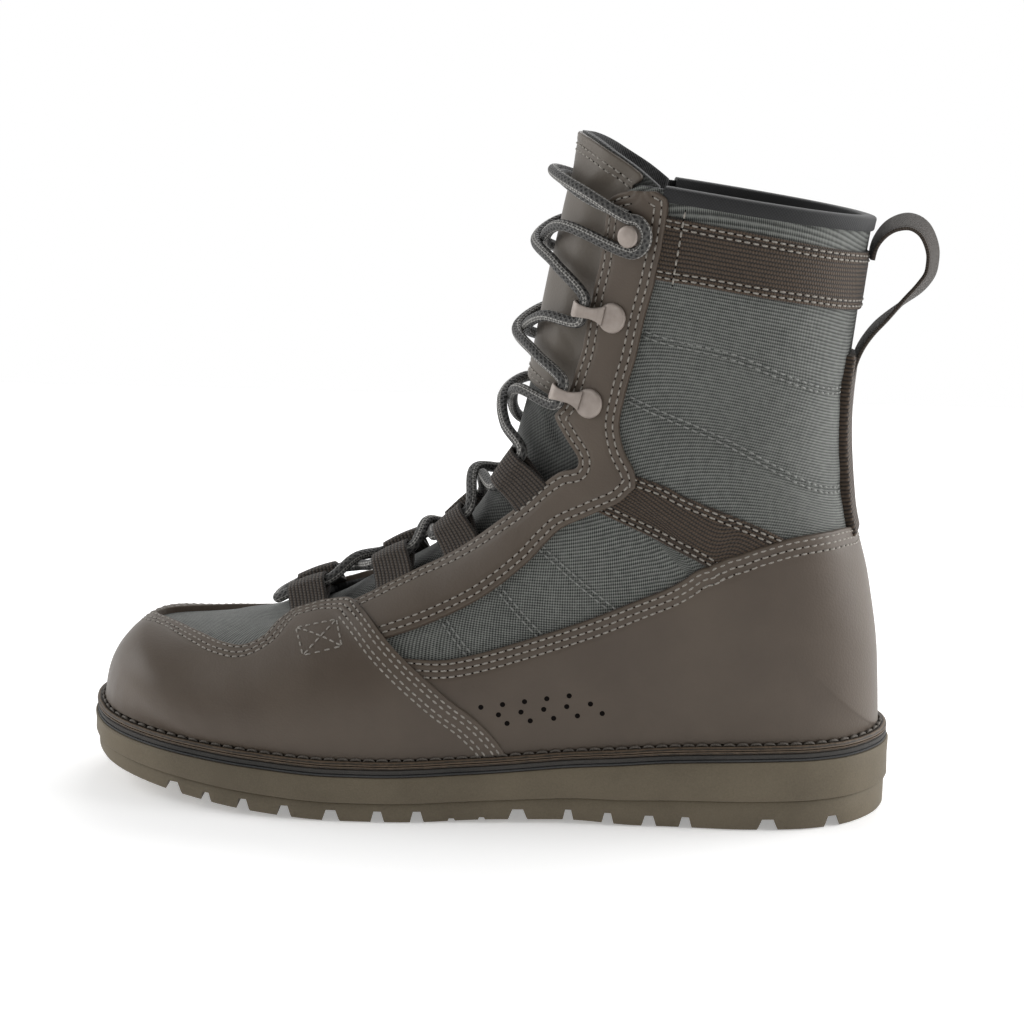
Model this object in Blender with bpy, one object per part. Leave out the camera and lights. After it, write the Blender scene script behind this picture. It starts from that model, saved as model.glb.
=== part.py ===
"""Wading boot for the left foot: welted rubber sole, fabric and leather upper, hooks, loops and lace.

Metres, +Z up. The toe points along -X, the outer (lateral) side faces -Y, and the sole stands on
the plane z = 0. Heights and lengths come from the named sizes; the tables hold shares of them.
"""

from collections import namedtuple

import bmesh
import bpy
import numpy as np
from mathutils import Matrix

# Sole sizes
SOLE_LENGTH = 0.312
BALL_WIDTH = 0.109
HEEL_WIDTH = 0.0856
OUTSOLE_HEEL = 0.0268
OUTSOLE_BALL = 0.0177
OUTSOLE_TOE = 0.0146
TOE_SPRING = 0.0113
SPRING_LENGTH = 0.106
MIDSOLE_THICK = 0.0025
MIDSOLE_INSET = 0.0009
WELT_THICK = 0.0026
WELT_WIDTH = 0.0170
WELT_SHOWS = 0.0052
SOLE_STEP = 0.0010
SOLE_STEP_UP = 0.42
SOLE_CHAMFER = 0.0012
INSOLE_THICK = 0.0045
INSOLE_ROOM = 0.0020

# Upper sizes
COLLAR_WIDTH = 0.0850
SHAFT_HEIGHT = 0.200
UPPER_WALL = 0.0026
LEATHER = 0.0017
WEBBING = 0.0015
TONGUE_THICK = 0.0030
SEAT = 0.0005
LAYER_GAP = 0.0003

HEEL_X = SOLE_LENGTH / 2
FEATHER_LENGTH = SOLE_LENGTH - 2 * WELT_SHOWS
FEATHER_X = HEEL_X - WELT_SHOWS
HALF_STEPS = 34

# The sole's outline: place along from the heel, then half widths as shares of half the local width
Girth = namedtuple("Girth", "along lateral medial")
OUTLINE = (
    Girth(0.000, 0.000, 0.000),
    Girth(0.020, 0.455, 0.455),
    Girth(0.060, 0.750, 0.750),
    Girth(0.120, 0.925, 0.925),
    Girth(0.200, 0.995, 0.970),
    Girth(0.300, 1.000, 0.906),
    Girth(0.400, 0.920, 0.775),
    Girth(0.500, 0.912, 0.752),
    Girth(0.600, 0.981, 0.880),
    Girth(0.680, 1.000, 0.954),
    Girth(0.760, 0.972, 0.972),
    Girth(0.840, 0.870, 0.935),
    Girth(0.910, 0.704, 0.824),
    Girth(0.960, 0.490, 0.640),
    Girth(0.985, 0.270, 0.445),
    Girth(1.000, -0.093, 0.093),
)

# The upper's sections, toe to collar. Each lies in a plane from a point on the front line to one on
# the sole edge or the back line. Along is a share of the upper's length from the heel, up a share of
# the shaft height over the sole. Feather is the share of the sole edge's half width that it keeps,
# lateral and medial add shares of half the local width; belly is how high it is widest; crown, side
# and base are the exponents of its curves, and ridge is how far the front line lies to the inside.
Section = namedtuple(
    "Section",
    "front_along front_up back_along back_up feather lateral medial belly crown side base ridge",
)
SECTIONS = (
    Section(1.000, 0.0000, 0.845, 0.0000, 1.0, 0.000, 0.000, 0.02, 2.4, 2.4, 2.0, 0.046),
    Section(0.992, 0.0510, 0.842, 0.0000, 1.0, 0.008, 0.008, 0.06, 2.4, 2.4, 2.0, 0.046),
    Section(0.973, 0.1095, 0.835, 0.0000, 1.0, 0.015, 0.015, 0.12, 2.4, 2.4, 2.0, 0.046),
    Section(0.934, 0.1610, 0.822, 0.0000, 1.0, 0.020, 0.020, 0.16, 2.3, 2.3, 2.0, 0.046),
    Section(0.871, 0.1730, 0.798, 0.0000, 1.0, 0.025, 0.025, 0.18, 2.2, 2.2, 2.0, 0.042),
    Section(0.792, 0.2015, 0.755, 0.0000, 1.0, 0.025, 0.025, 0.20, 2.2, 2.2, 2.0, 0.036),
    Section(0.699, 0.2620, 0.682, 0.0000, 1.0, 0.015, 0.020, 0.22, 2.1, 2.1, 2.0, 0.028),
    Section(0.616, 0.3210, 0.593, 0.0000, 1.0, 0.000, 0.050, 0.24, 2.0, 2.0, 2.0, 0.020),
    Section(0.546, 0.3855, 0.474, 0.0000, 1.0, 0.005, 0.100, 0.26, 2.0, 2.0, 2.2, 0.012),
    Section(0.500, 0.4650, 0.341, 0.0000, 0.6, 0.345, 0.400, 0.32, 2.1, 2.0, 2.6, 0.006),
    Section(0.470, 0.5495, 0.195, 0.0000, 0.3, 0.615, 0.624, 0.40, 2.3, 2.0, 3.0, 0.000),
    Section(0.454, 0.6340, 0.069, 0.0000, 0.0, 0.888, 0.888, 0.47, 2.4, 2.0, 3.4, 0.000),
    Section(0.442, 0.7225, 0.000, 0.0000, 0.0, 0.893, 0.893, 0.50, 2.5, 2.0, 3.4, 0.000),
    Section(0.431, 0.8065, 0.005, 0.1325, 0.0, 0.888, 0.888, 0.50, 2.5, 2.0, 3.2, 0.000),
    Section(0.421, 0.8805, 0.020, 0.2775, 0.0, 0.885, 0.885, 0.50, 2.4, 2.0, 3.0, 0.000),
    Section(0.411, 0.9445, 0.044, 0.4275, 0.0, 0.895, 0.895, 0.50, 2.3, 2.0, 2.8, 0.000),
    Section(0.404, 0.9940, 0.052, 0.5875, 0.0, 0.920, 0.920, 0.50, 2.2, 2.0, 2.6, 0.000),
    Section(0.399, 1.0240, 0.042, 0.7610, 0.0, 0.965, 0.965, 0.50, 2.1, 2.0, 2.4, 0.000),
    Section(0.394, 1.0515, 0.027, 0.9410, 0.0, 1.000, 1.000, 0.50, 2.1, 2.0, 2.3, 0.000),
    Section(0.388, 1.1240, 0.012, 1.0220, 0.0, 1.020, 1.020, 0.50, 2.1, 2.0, 2.3, 0.000),
)
HEEL_STATION = 12
COLLAR_STATION = 18
CROWN_STATION = 3.0


def smooth_step(low, high, value):
    """Share from 0 at low to 1 at high, level at both ends."""
    share = np.clip((np.asarray(value, float) - low) / (high - low), 0.0, 1.0)
    return share * share * (3.0 - 2.0 * share)


def curve(knots, values, places):
    """Cubic curve through the values at the knots that never swings past them."""
    knots, values = np.asarray(knots, float), np.asarray(values, float)
    spans = np.diff(knots)
    rises = np.diff(values) / spans
    slopes = np.empty_like(values)
    slopes[0], slopes[-1] = rises[0], rises[-1]
    before, after = rises[:-1], rises[1:]
    weigh_before, weigh_after = spans[:-1] + 2 * spans[1:], 2 * spans[:-1] + spans[1:]
    same = before * after > 0
    safe_before, safe_after = np.where(same, before, 1.0), np.where(same, after, 1.0)
    mean = (weigh_before + weigh_after) / (weigh_before / safe_after + weigh_after / safe_before)
    slopes[1:-1] = np.where(same, mean, 0.0)
    places = np.clip(np.asarray(places, float), knots[0], knots[-1])
    left = np.clip(np.searchsorted(knots, places, side="right") - 1, 0, len(knots) - 2)
    span = spans[left]
    s = (places - knots[left]) / span
    rest = 1 - s
    return (
        (1 + 2 * s) * rest * rest * values[left]
        + s * rest * rest * span * slopes[left]
        + s * s * (3 - 2 * s) * values[left + 1]
        - s * s * rest * span * slopes[left + 1]
    )


def local_half_width(along, up=0.0):
    """Half the named width that rules at a place: heel, ball or, up the shaft, collar."""
    sole = HEEL_WIDTH + (BALL_WIDTH - HEEL_WIDTH) * smooth_step(0.25, 0.55, along)
    return (sole + (COLLAR_WIDTH - sole) * smooth_step(0.0, 0.9, up)) / 2


def outline(inset):
    """Closed ring of XY points, heel first, round the inner side, at an inset from the sole edge."""
    turn = np.linspace(0.0, np.pi, HALF_STEPS + 1)
    along = (1 - np.cos(turn)) / 2
    knots = np.arccos(1 - 2 * np.array([row.along for row in OUTLINE]))
    half = local_half_width(along)
    lateral = curve(knots, [row.lateral for row in OUTLINE], turn) * half
    medial = curve(knots, [row.medial for row in OUTLINE], turn) * half
    x = HEEL_X - SOLE_LENGTH * along
    ring = np.concatenate(
        [np.stack([x, medial], 1), np.stack([x, -lateral], 1)[-2:0:-1]]
    )
    step = np.roll(ring, -1, 0) - np.roll(ring, 1, 0)
    outward = np.stack([step[:, 1], -step[:, 0]], 1)
    outward /= np.linalg.norm(outward, axis=1)[:, None]
    return ring - outward * inset


def ground(x):
    """Height of the tread over the floor: level, then rising to the toe spring."""
    start = SPRING_LENGTH - HEEL_X
    return TOE_SPRING * np.clip((start - x) / SPRING_LENGTH, 0.0, None) ** 1.5


def blend_along(x, toe, ball, heel):
    """A thickness that goes from toe to ball to heel along the sole."""
    along = (HEEL_X - x) / SOLE_LENGTH
    rear = heel + (ball - heel) * smooth_step(0.12, 0.62, along)
    return rear + (toe - ball) * smooth_step(0.72, 1.0, along)


def outsole_top(x):
    """Height of the outsole's upper face."""
    return ground(x) + blend_along(x, OUTSOLE_TOE, OUTSOLE_BALL, OUTSOLE_HEEL)


def midsole_top(x):
    """Height of the midsole's upper face."""
    return outsole_top(x) + LAYER_GAP + MIDSOLE_THICK


def welt_top(x):
    """Height of the welt's upper face."""
    return midsole_top(x) + LAYER_GAP + WELT_THICK


def seat_height(x):
    """Height of the upper's lower edge."""
    return welt_top(x) + LAYER_GAP


class UpperForm:
    """Outer surface of the upper, read by station along it and by share of the way around it.

    Station counts the rows of SECTIONS. Around is the share of the arc from the front line, 0, to
    the sole edge or the back line, -1 on the lateral side and 1 on the medial side.
    """

    FINE = 10
    SIDE = 80
    DENSE = 240

    def __init__(self):
        stations = np.arange((len(SECTIONS) - 1) * self.FINE + 1) / self.FINE
        self.last = len(SECTIONS) - 1
        rows = {
            field: curve(range(len(SECTIONS)), [getattr(row, field) for row in SECTIONS], stations)
            for field in Section._fields
        }
        front_x = FEATHER_X - FEATHER_LENGTH * rows["front_along"]
        back_x = FEATHER_X - FEATHER_LENGTH * rows["back_along"]
        front_z = seat_height(front_x) + SHAFT_HEIGHT * rows["front_up"]
        back_z = seat_height(back_x) + SHAFT_HEIGHT * rows["back_up"]
        feather = outline(WELT_SHOWS)
        inner = feather[: HALF_STEPS + 1]
        outer = np.vstack([feather[HALF_STEPS:], feather[:1]])[::-1]
        share = (1 + np.cos(np.linspace(0.0, np.pi, self.DENSE))) / 2
        around = np.linspace(0.0, 1.0, self.SIDE + 1)
        self.points = np.empty((len(stations), 2 * self.SIDE + 1, 3))
        for i, station in enumerate(stations):
            row = {field: values[i] for field, values in rows.items()}
            x = back_x[i] + (front_x[i] - back_x[i]) * share
            z = back_z[i] + (front_z[i] - back_z[i]) * share
            edge_x = back_x[i] + (-HEEL_X + WELT_SHOWS - back_x[i]) * share
            local = local_half_width((HEEL_X - back_x[i]) / SOLE_LENGTH, row["back_up"])
            for sign, edge, extra in ((-1, outer, row["lateral"]), (1, inner, row["medial"])):
                half = np.interp(-edge_x, -edge[:, 0], sign * edge[:, 1])
                foot = half[-1] if station < HEEL_STATION else 0.0
                widest = row["feather"] * foot + extra * local
                y = self.section(share, foot, widest, row)
                ridge = row["ridge"] * BALL_WIDTH * np.where(share > row["belly"], 1 - y / widest, 0.0)
                flat = 1 - smooth_step(0.0, CROWN_STATION, station)
                y = (1 - flat) * (sign * y + ridge) + flat * sign * half
                path = np.column_stack([x, y, z])
                length = np.concatenate([[0.0], np.cumsum(np.linalg.norm(np.diff(path, axis=0), axis=1))])
                places = around * length[-1]
                side = np.column_stack([np.interp(places, length, path[:, k]) for k in range(3)])
                if sign < 0:
                    self.points[i, : self.SIDE + 1] = side[::-1]
                else:
                    self.points[i, self.SIDE :] = side
        self.normals = self.outward()

    @staticmethod
    def section(share, foot, widest, row):
        """Half width along one section: a rounded crown over a base that narrows to the sole edge."""
        belly = max(row["belly"], 1e-4)
        high = np.clip((share - belly) / (1 - belly), 0.0, 1.0)
        low = np.clip(1 - share / belly, 0.0, 1.0)
        crown = widest * (1 - high ** row["crown"]) ** (1 / row["side"])
        base = np.sqrt(foot**2 + (widest**2 - foot**2) * (1 - low ** row["base"]))
        return np.where(share > belly, crown, base)

    def outward(self):
        """Unit normals of the surface, shared along the back line where both sides meet."""
        along = np.gradient(self.points, axis=0)
        across = np.gradient(self.points, axis=1)
        normals = np.cross(along, across)
        normals /= np.linalg.norm(normals, axis=2)[:, :, None] + 1e-15
        joined = normals[HEEL_STATION * self.FINE :, [0, -1]].sum(1)
        joined /= np.linalg.norm(joined, axis=1)[:, None]
        normals[HEEL_STATION * self.FINE :, 0] = joined
        normals[HEEL_STATION * self.FINE :, -1] = joined
        return normals

    def at(self, station, around, lift=0.0):
        """Points on the surface, lifted off it along its normal."""
        station, around, lift = np.broadcast_arrays(station, around, lift)
        u = np.clip(station * self.FINE, 0, self.points.shape[0] - 1)
        v = np.clip((around + 1) * self.SIDE, 0, self.points.shape[1] - 1)
        i = np.minimum(u.astype(int), self.points.shape[0] - 2)
        j = np.minimum(v.astype(int), self.points.shape[1] - 2)
        p, q = (u - i)[..., None], (v - j)[..., None]

        def mix(grid):
            return (
                (1 - p) * ((1 - q) * grid[i, j] + q * grid[i, j + 1])
                + p * ((1 - q) * grid[i + 1, j] + q * grid[i + 1, j + 1])
            )

        normal = mix(self.normals)
        normal /= np.linalg.norm(normal, axis=-1)[..., None]
        return mix(self.points) + normal * lift[..., None]


def material(name, colour, roughness, metallic=0.0):
    """One Principled material."""
    made = bpy.data.materials.new(name)
    made.use_nodes = True
    shader = made.node_tree.nodes["Principled BSDF"]
    shader.inputs["Base Color"].default_value = (*colour, 1.0)
    shader.inputs["Roughness"].default_value = roughness
    shader.inputs["Metallic"].default_value = metallic
    return made


def add_object(name, vertices, faces, finish, sharp=35):
    """New mesh object from points and faces, welded and with its faces turned outwards."""
    mesh = bpy.data.meshes.new(name)
    mesh.from_pydata([tuple(v) for v in vertices], [], [tuple(f) for f in faces])
    cleaner = bmesh.new()
    cleaner.from_mesh(mesh)
    bmesh.ops.remove_doubles(cleaner, verts=cleaner.verts, dist=1e-6)
    bmesh.ops.recalc_face_normals(cleaner, faces=cleaner.faces)
    bmesh.ops.triangulate(cleaner, faces=cleaner.faces)
    cleaner.to_mesh(mesh)
    cleaner.free()
    mesh.shade_smooth()
    mesh.set_sharp_from_angle(angle=np.radians(sharp))
    made = bpy.data.objects.new(name, mesh)
    made.data.materials.append(finish)
    bpy.context.scene.collection.objects.link(made)
    return made


def grid_faces(rows, columns, keep=None):
    """Quads of a grid of rows by columns, without those that keep turns down."""
    return [
        (r * columns + c, r * columns + c + 1, (r + 1) * columns + c + 1, (r + 1) * columns + c)
        for r in range(rows - 1)
        for c in range(columns - 1)
        if keep is None or keep(r, c)
    ]


def wall(name, outer, inner, faces, finish, sharp=35):
    """Closed wall between two sheets of points that share their faces, rims included."""
    outer, inner = outer.reshape(-1, 3), inner.reshape(-1, 3)
    points, index = np.unique(np.round(outer, 7), axis=0, return_inverse=True)
    index = index.ravel()
    first = {}
    for at, key in enumerate(index):
        first.setdefault(key, at)
    faces = [tuple(dict.fromkeys(first[index[v]] for v in face)) for face in faces]
    faces = [face for face in faces if len(face) > 2]
    count = len(outer)
    edges = {(face[k], face[(k + 1) % len(face)]) for face in faces for k in range(len(face))}
    rims = [(b, a, a + count, b + count) for a, b in edges if (b, a) not in edges]
    back = [tuple(v + count for v in reversed(face)) for face in faces]
    return add_object(name, np.vstack([outer, inner]), faces + back + rims, finish, sharp)


def stack(name, levels, finish, hollow=False):
    """Solid from rings of the sole's outline, each at an inset and a height, capped or hollow."""
    rings = []
    for inset, height in levels:
        ring = outline(inset)
        rings.append(np.column_stack([ring, height(ring[:, 0])]))
    count = len(rings[0])
    faces = []
    pairs = list(zip(range(len(rings)), range(1, len(rings))))
    if hollow:
        pairs.append((len(rings) - 1, 0))
    for low, high in pairs:
        for k in range(count):
            n = (k + 1) % count
            faces.append((low * count + k, low * count + n, high * count + n, high * count + k))
    if not hollow:
        for start in (0, (len(rings) - 1) * count):
            for k in range(HALF_STEPS):
                corners = (k, k + 1, (count - k - 1) % count, (count - k) % count)
                faces.append(tuple(dict.fromkeys(start + c for c in corners)))
    return add_object(name, np.vstack(rings), faces, finish)


# Leather and webbing edges on the lateral side, read as station and share around from the front line
# to the sole edge; the medial side repeats them mirrored.
Edge = namedtuple("Edge", "foot_station foot_around top_station top_around")
VAMP = (
    Edge(0.00, 0.00, 2.95, 0.00),
    Edge(0.00, 0.20, 3.15, 0.06),
    Edge(0.00, 0.45, 3.45, 0.12),
    Edge(0.00, 0.72, 3.80, 0.20),
    Edge(0.00, 1.00, 4.20, 0.30),
    Edge(2.60, 1.00, 4.60, 0.40),
    Edge(4.00, 1.00, 4.95, 0.445),
    Edge(5.00, 1.00, 5.25, 0.405),
    Edge(5.80, 1.00, 5.45, 0.28),
    Edge(6.60, 1.00, 5.65, 0.22),
    Edge(7.20, 1.00, 5.95, 0.22),
    Edge(7.70, 1.00, 6.28, 0.25),
    Edge(8.14, 1.00, 6.60, 0.325),
)
COUNTER = (
    Edge(8.17, 1.00, 7.28, 0.605),
    Edge(8.80, 1.00, 7.87, 0.628),
    Edge(9.40, 1.00, 8.70, 0.618),
    Edge(10.00, 1.00, 9.40, 0.603),
    Edge(10.60, 1.00, 10.25, 0.585),
    Edge(11.00, 1.00, 10.95, 0.567),
    Edge(11.30, 1.00, 11.50, 0.551),
    Edge(11.52, 1.00, 11.98, 0.539),
    Edge(11.66, 1.00, 12.38, 0.552),
    Edge(11.75, 1.00, 12.72, 0.588),
    Edge(11.82, 1.00, 13.12, 0.638),
    Edge(11.88, 1.00, 13.58, 0.698),
    Edge(11.92, 1.00, 14.00, 0.768),
    Edge(11.95, 1.00, 14.32, 0.838),
    Edge(11.98, 1.00, 14.57, 0.915),
    Edge(12.00, 1.00, 14.74, 1.000),
)
# Facing beside the throat: its front edge as foot, its rear edge as top
EYESTAY = (
    Edge(6.54, 0.285, 7.06, 0.512),
    Edge(7.22, 0.240, 7.50, 0.490),
    Edge(7.72, 0.224, 7.85, 0.468),
    Edge(8.32, 0.226, 8.30, 0.445),
    Edge(8.99, 0.227, 8.80, 0.415),
    Edge(9.70, 0.227, 9.30, 0.383),
    Edge(10.26, 0.228, 9.75, 0.352),
    Edge(10.78, 0.236, 10.15, 0.340),
    Edge(11.20, 0.258, 10.75, 0.348),
    Edge(11.38, 0.246, 11.35, 0.358),
    Edge(11.46, 0.205, 11.85, 0.346),
    Edge(11.63, 0.160, 12.25, 0.333),
    Edge(12.13, 0.166, 12.42, 0.304),
    Edge(12.72, 0.178, 12.75, 0.290),
    Edge(13.32, 0.190, 13.40, 0.300),
    Edge(13.99, 0.197, 14.30, 0.325),
    Edge(14.74, 0.209, 15.20, 0.350),
    Edge(15.56, 0.226, 16.10, 0.375),
    Edge(16.41, 0.234, 16.90, 0.385),
    Edge(17.25, 0.238, 17.50, 0.388),
    Edge(17.63, 0.262, 17.80, 0.383),
    Edge(17.80, 0.290, 17.93, 0.355),
)
COLLAR_BAND = (
    Edge(16.11, 0.386, 17.46, 0.398),
    Edge(16.48, 0.483, 17.51, 0.464),
    Edge(16.81, 0.626, 17.58, 0.595),
    Edge(17.01, 0.776, 17.61, 0.745),
    Edge(17.09, 0.910, 17.63, 0.900),
    Edge(17.11, 1.000, 17.63, 1.000),
)
SIDE_STRAP = (
    Edge(11.02, 0.368, 12.18, 0.343),
    Edge(11.30, 0.458, 12.65, 0.464),
    Edge(11.60, 0.515, 13.05, 0.556),
    Edge(12.15, 0.512, 13.28, 0.606),
)

# Half the throat's opening, as a share around, by station
Throat = namedtuple("Throat", "station around")
THROAT = (
    Throat(5.60, 0.165),
    Throat(6.00, 0.200),
    Throat(6.50, 0.255),
    Throat(7.20, 0.235),
    Throat(7.70, 0.218),
    Throat(9.70, 0.221),
    Throat(10.78, 0.230),
    Throat(11.20, 0.251),
    Throat(11.38, 0.240),
    Throat(11.50, 0.190),
    Throat(11.66, 0.155),
    Throat(12.72, 0.172),
    Throat(13.99, 0.191),
    Throat(15.56, 0.220),
    Throat(17.25, 0.232),
    Throat(17.63, 0.256),
    Throat(18.00, 0.300),
)
TONGUE_START = 5.35
TONGUE_TOP = 18.97
TONGUE_DROP = 0.95
FACING_START = 11.55

# Centres of the lace loops, hook discs and stud
LaceRow = namedtuple("LaceRow", "name station around")
LOOPS = (
    LaceRow("1", 5.80, 0.122),
    LaceRow("2", 7.14, 0.140),
    LaceRow("3", 8.35, 0.148),
    LaceRow("4", 10.00, 0.160),
)
HOOKS = (
    LaceRow("lower", 12.55, 0.221),
    LaceRow("upper", 14.54, 0.265),
)
STUD = LaceRow("top", 16.76, 0.318)

# Sole tread: place along from the heel, width and depth of each groove
Groove = namedtuple("Groove", "along width depth")
GROOVES = (
    Groove(0.058, 0.0060, 0.0044),
    Groove(0.136, 0.0078, 0.0044),
    Groove(0.233, 0.0049, 0.0044),
    Groove(0.276, 0.0056, 0.0044),
    Groove(0.325, 0.0045, 0.0044),
    Groove(0.372, 0.0041, 0.0044),
    Groove(0.432, 0.0074, 0.0044),
    Groove(0.552, 0.0052, 0.0046),
    Groove(0.599, 0.0052, 0.0046),
    Groove(0.655, 0.0067, 0.0046),
    Groove(0.712, 0.0056, 0.0046),
    Groove(0.763, 0.0053, 0.0046),
    Groove(0.810, 0.0045, 0.0038),
    Groove(0.853, 0.0070, 0.0044),
)
GROOVE_CHEVRON = 0.006
ARCH_LIFT = 0.0012

# The upper's shell lies a little inside the form, so that the leather over it comes out right
SHELL = -0.0010
THROAT_END = 5.8
TONGUE_LIFT = -0.0022
LACE_RADIUS = 0.0020
LACE_SIDES = 6
LACE_LIFT = 0.0050
LOOP_LENGTH = 0.0155
LOOP_HALF_WIDTH = 0.0054
LOOP_HALF_HEIGHT = 0.0040
LOOP_STRAP = 0.0012
LOOP_LIFT = 0.0047
HOOK_DISC = 0.0107
HOOK_PLATE = 0.0013
HOOK_BAR = 0.0062
HOOK_BEND = 0.0031
HOOK_REACH = 0.0112
HOOK_RISE = 0.0036
HOOK_DROP = 0.42
# How far each crossing sags towards the toe, in stations, from the lowest pair of rows to the stud
LACE_SAG = (0.0, 0.0, 0.0, 0.0, 0.70, 0.85)
STUD_CAP = 0.0077
STUD_NECK = 0.0018
STUD_HEIGHT = 0.0066
PULL_LOOP_WIDTH = 0.0200
PULL_LOOP_THICK = 0.0020
BINDING_THICK = 0.0011
BINDING_DEPTH = 0.0036

# Half the tongue's width as a share around, by station
TONGUE = (
    Throat(5.35, 0.200),
    Throat(6.00, 0.262),
    Throat(7.00, 0.300),
    Throat(9.00, 0.285),
    Throat(11.30, 0.300),
    Throat(12.50, 0.250),
    Throat(16.00, 0.300),
    Throat(18.00, 0.345),
    Throat(19.00, 0.310),
)
BACK_STRAP = (
    Edge(14.74, 0.930, 16.30, 0.930),
    Edge(14.82, 0.960, 16.30, 0.960),
    Edge(14.90, 1.000, 16.30, 1.000),
)
# The pull loop's centre line behind the heel: X from the back line at the collar, Z over the floor
PULL_LOOP = (
    (0.0004, 0.2045),
    (0.0010, 0.2100),
    (0.0030, 0.2150),
    (0.0070, 0.2190),
    (0.0118, 0.2205),
    (0.0167, 0.2185),
    (0.0198, 0.2138),
    (0.0212, 0.2085),
    (0.0208, 0.2028),
    (0.0175, 0.1972),
    (0.0120, 0.1920),
    (0.0062, 0.1864),
    (0.0006, 0.1805),
    (-0.0036, 0.1738),
    (-0.0056, 0.1680),
    (-0.0061, 0.1640),
    (-0.0063, 0.1613),
)


def arch(x):
    """Height of the waist of the tread over the heel and forefoot."""
    along = (HEEL_X - x) / SOLE_LENGTH
    return ARCH_LIFT * smooth_step(0.28, 0.38, along) * (1 - smooth_step(0.46, 0.56, along))


def tread(x):
    """Height of the tread's lower face."""
    return ground(x) + arch(x)


def add_cutter(name, vertices, faces, target):
    """Solid that is cut out of the target and left out of the part."""
    cutter = add_object(name, vertices, faces, target.data.materials[0])
    cutter.hide_render = True
    cutter.display_type = "WIRE"
    cut = target.modifiers.new(name, "BOOLEAN")
    cut.operation = "DIFFERENCE"
    cut.solver = "EXACT"
    cut.object = cutter
    return cutter


def make_outsole(finish):
    """Rubber sole with a step round its side, cut by chevron grooves and a channel down the middle."""
    step = SOLE_STEP

    def below(share, rise=0.0):
        return lambda x: tread(x) + (outsole_top(x) - tread(x)) * share + rise

    outsole = stack(
        "outsole",
        (
            (step + SOLE_CHAMFER, below(0.0)),
            (step, below(0.0, SOLE_CHAMFER)),
            (step, below(SOLE_STEP_UP)),
            (0.0, below(SOLE_STEP_UP, 0.6 * step)),
            (0.0, below(1.0)),
        ),
        finish,
    )
    vertices, faces = [], []
    reach = BALL_WIDTH * 0.62
    for groove in GROOVES:
        x = HEEL_X - SOLE_LENGTH * groove.along
        start = len(vertices)
        for y, shift in ((-reach, 0.0), (0.0, -GROOVE_CHEVRON), (reach, 0.0)):
            for side in (-0.5, 0.5):
                place = x + shift + side * groove.width
                wide = x + shift + 1.25 * side * groove.width
                narrow = x + shift + 0.6 * side * groove.width
                vertices.append((wide, y, tread(place) - 0.002))
                vertices.append((narrow, y, tread(place) + groove.depth))
        for low in (start, start + 4):
            high = low + 4
            faces += [
                (low, low + 1, high + 1, high),
                (low + 2, high + 2, high + 3, low + 3),
                (low, high, high + 2, low + 2),
                (low + 1, low + 3, high + 3, high + 1),
            ]
        faces += [(start, start + 2, start + 3, start + 1), (start + 8, start + 9, start + 11, start + 10)]
    add_cutter("groove_cutter", vertices, faces, outsole)
    places = HEEL_X - SOLE_LENGTH * np.linspace(0.53, 0.90, 8)
    rows = [
        (x, y, tread(x) + z)
        for x in places
        for y, z in ((0.0, -0.004), (0.006, -0.004), (0.006, 0.0028), (0.0, 0.0028))
    ]
    faces = [
        (4 * k + c, 4 * k + (c + 1) % 4, 4 * k + 4 + (c + 1) % 4, 4 * k + 4 + c)
        for k in range(len(places) - 1)
        for c in range(4)
    ]
    last = 4 * (len(places) - 1)
    faces += [(0, 1, 2, 3), (last + 3, last + 2, last + 1, last)]
    add_cutter("channel_cutter", rows, faces, outsole)
    return outsole


def make_midsole(finish):
    """Rubber layer between outsole and welt."""
    inset = MIDSOLE_INSET
    return stack(
        "midsole",
        ((inset, lambda x: outsole_top(x) + LAYER_GAP), (inset, midsole_top)),
        finish,
    )


def make_welt(finish):
    """Flat ring that the upper stands on."""
    low = [(MIDSOLE_INSET, lambda x: midsole_top(x) + LAYER_GAP), (MIDSOLE_INSET, welt_top)]
    high = [(WELT_WIDTH, welt_top), (WELT_WIDTH, lambda x: midsole_top(x) + LAYER_GAP)]
    return stack("welt", low + high, finish, hollow=True)


def make_insole(finish):
    """Footbed: a base inside the welt ring, and a wider sheet over it inside the upper."""
    narrow = WELT_WIDTH + 2 * LAYER_GAP
    wide = WELT_SHOWS - SHELL + UPPER_WALL + INSOLE_ROOM
    return stack(
        "insole",
        (
            (narrow, lambda x: midsole_top(x) + LAYER_GAP),
            (narrow, seat_height),
            (wide, seat_height),
            (wide, lambda x: seat_height(x) + INSOLE_THICK),
        ),
        finish,
    )


def on_seat(points):
    """Points kept over the welt."""
    points[..., 2] = np.maximum(points[..., 2], seat_height(points[..., 0]))
    return points


def make_upper(form, finish):
    """Hollow shell from sole edge to collar, open at the collar, at the throat and underneath."""
    thirds = np.arange(24, 3 * COLLAR_STATION + 1) / 3
    stations = np.concatenate([[0.0, 0.2, 0.4, 0.7], np.arange(10, 80, 4) / 10, thirds])
    share = np.linspace(0.0, 1.0, 13)
    half = curve([row.station for row in THROAT], [row.around for row in THROAT], stations)
    half = np.where(stations < THROAT_END, 0.03 + (half - 0.03) * (stations / THROAT_END), half)
    side = half[:, None] + (1 - half[:, None]) * share
    around = np.hstack([-side[:, ::-1], np.zeros((len(stations), 1)), side])
    middle = len(share)
    end = int(np.searchsorted(stations, THROAT_END))

    def keep(row, column):
        return row < end or column not in (middle - 1, middle)

    outer = on_seat(form.at(stations[:, None], around, SHELL))
    inner = on_seat(form.at(stations[:, None], around, SHELL - UPPER_WALL))
    return wall("upper", outer, inner, grid_faces(len(stations), around.shape[1], keep), finish)


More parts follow.
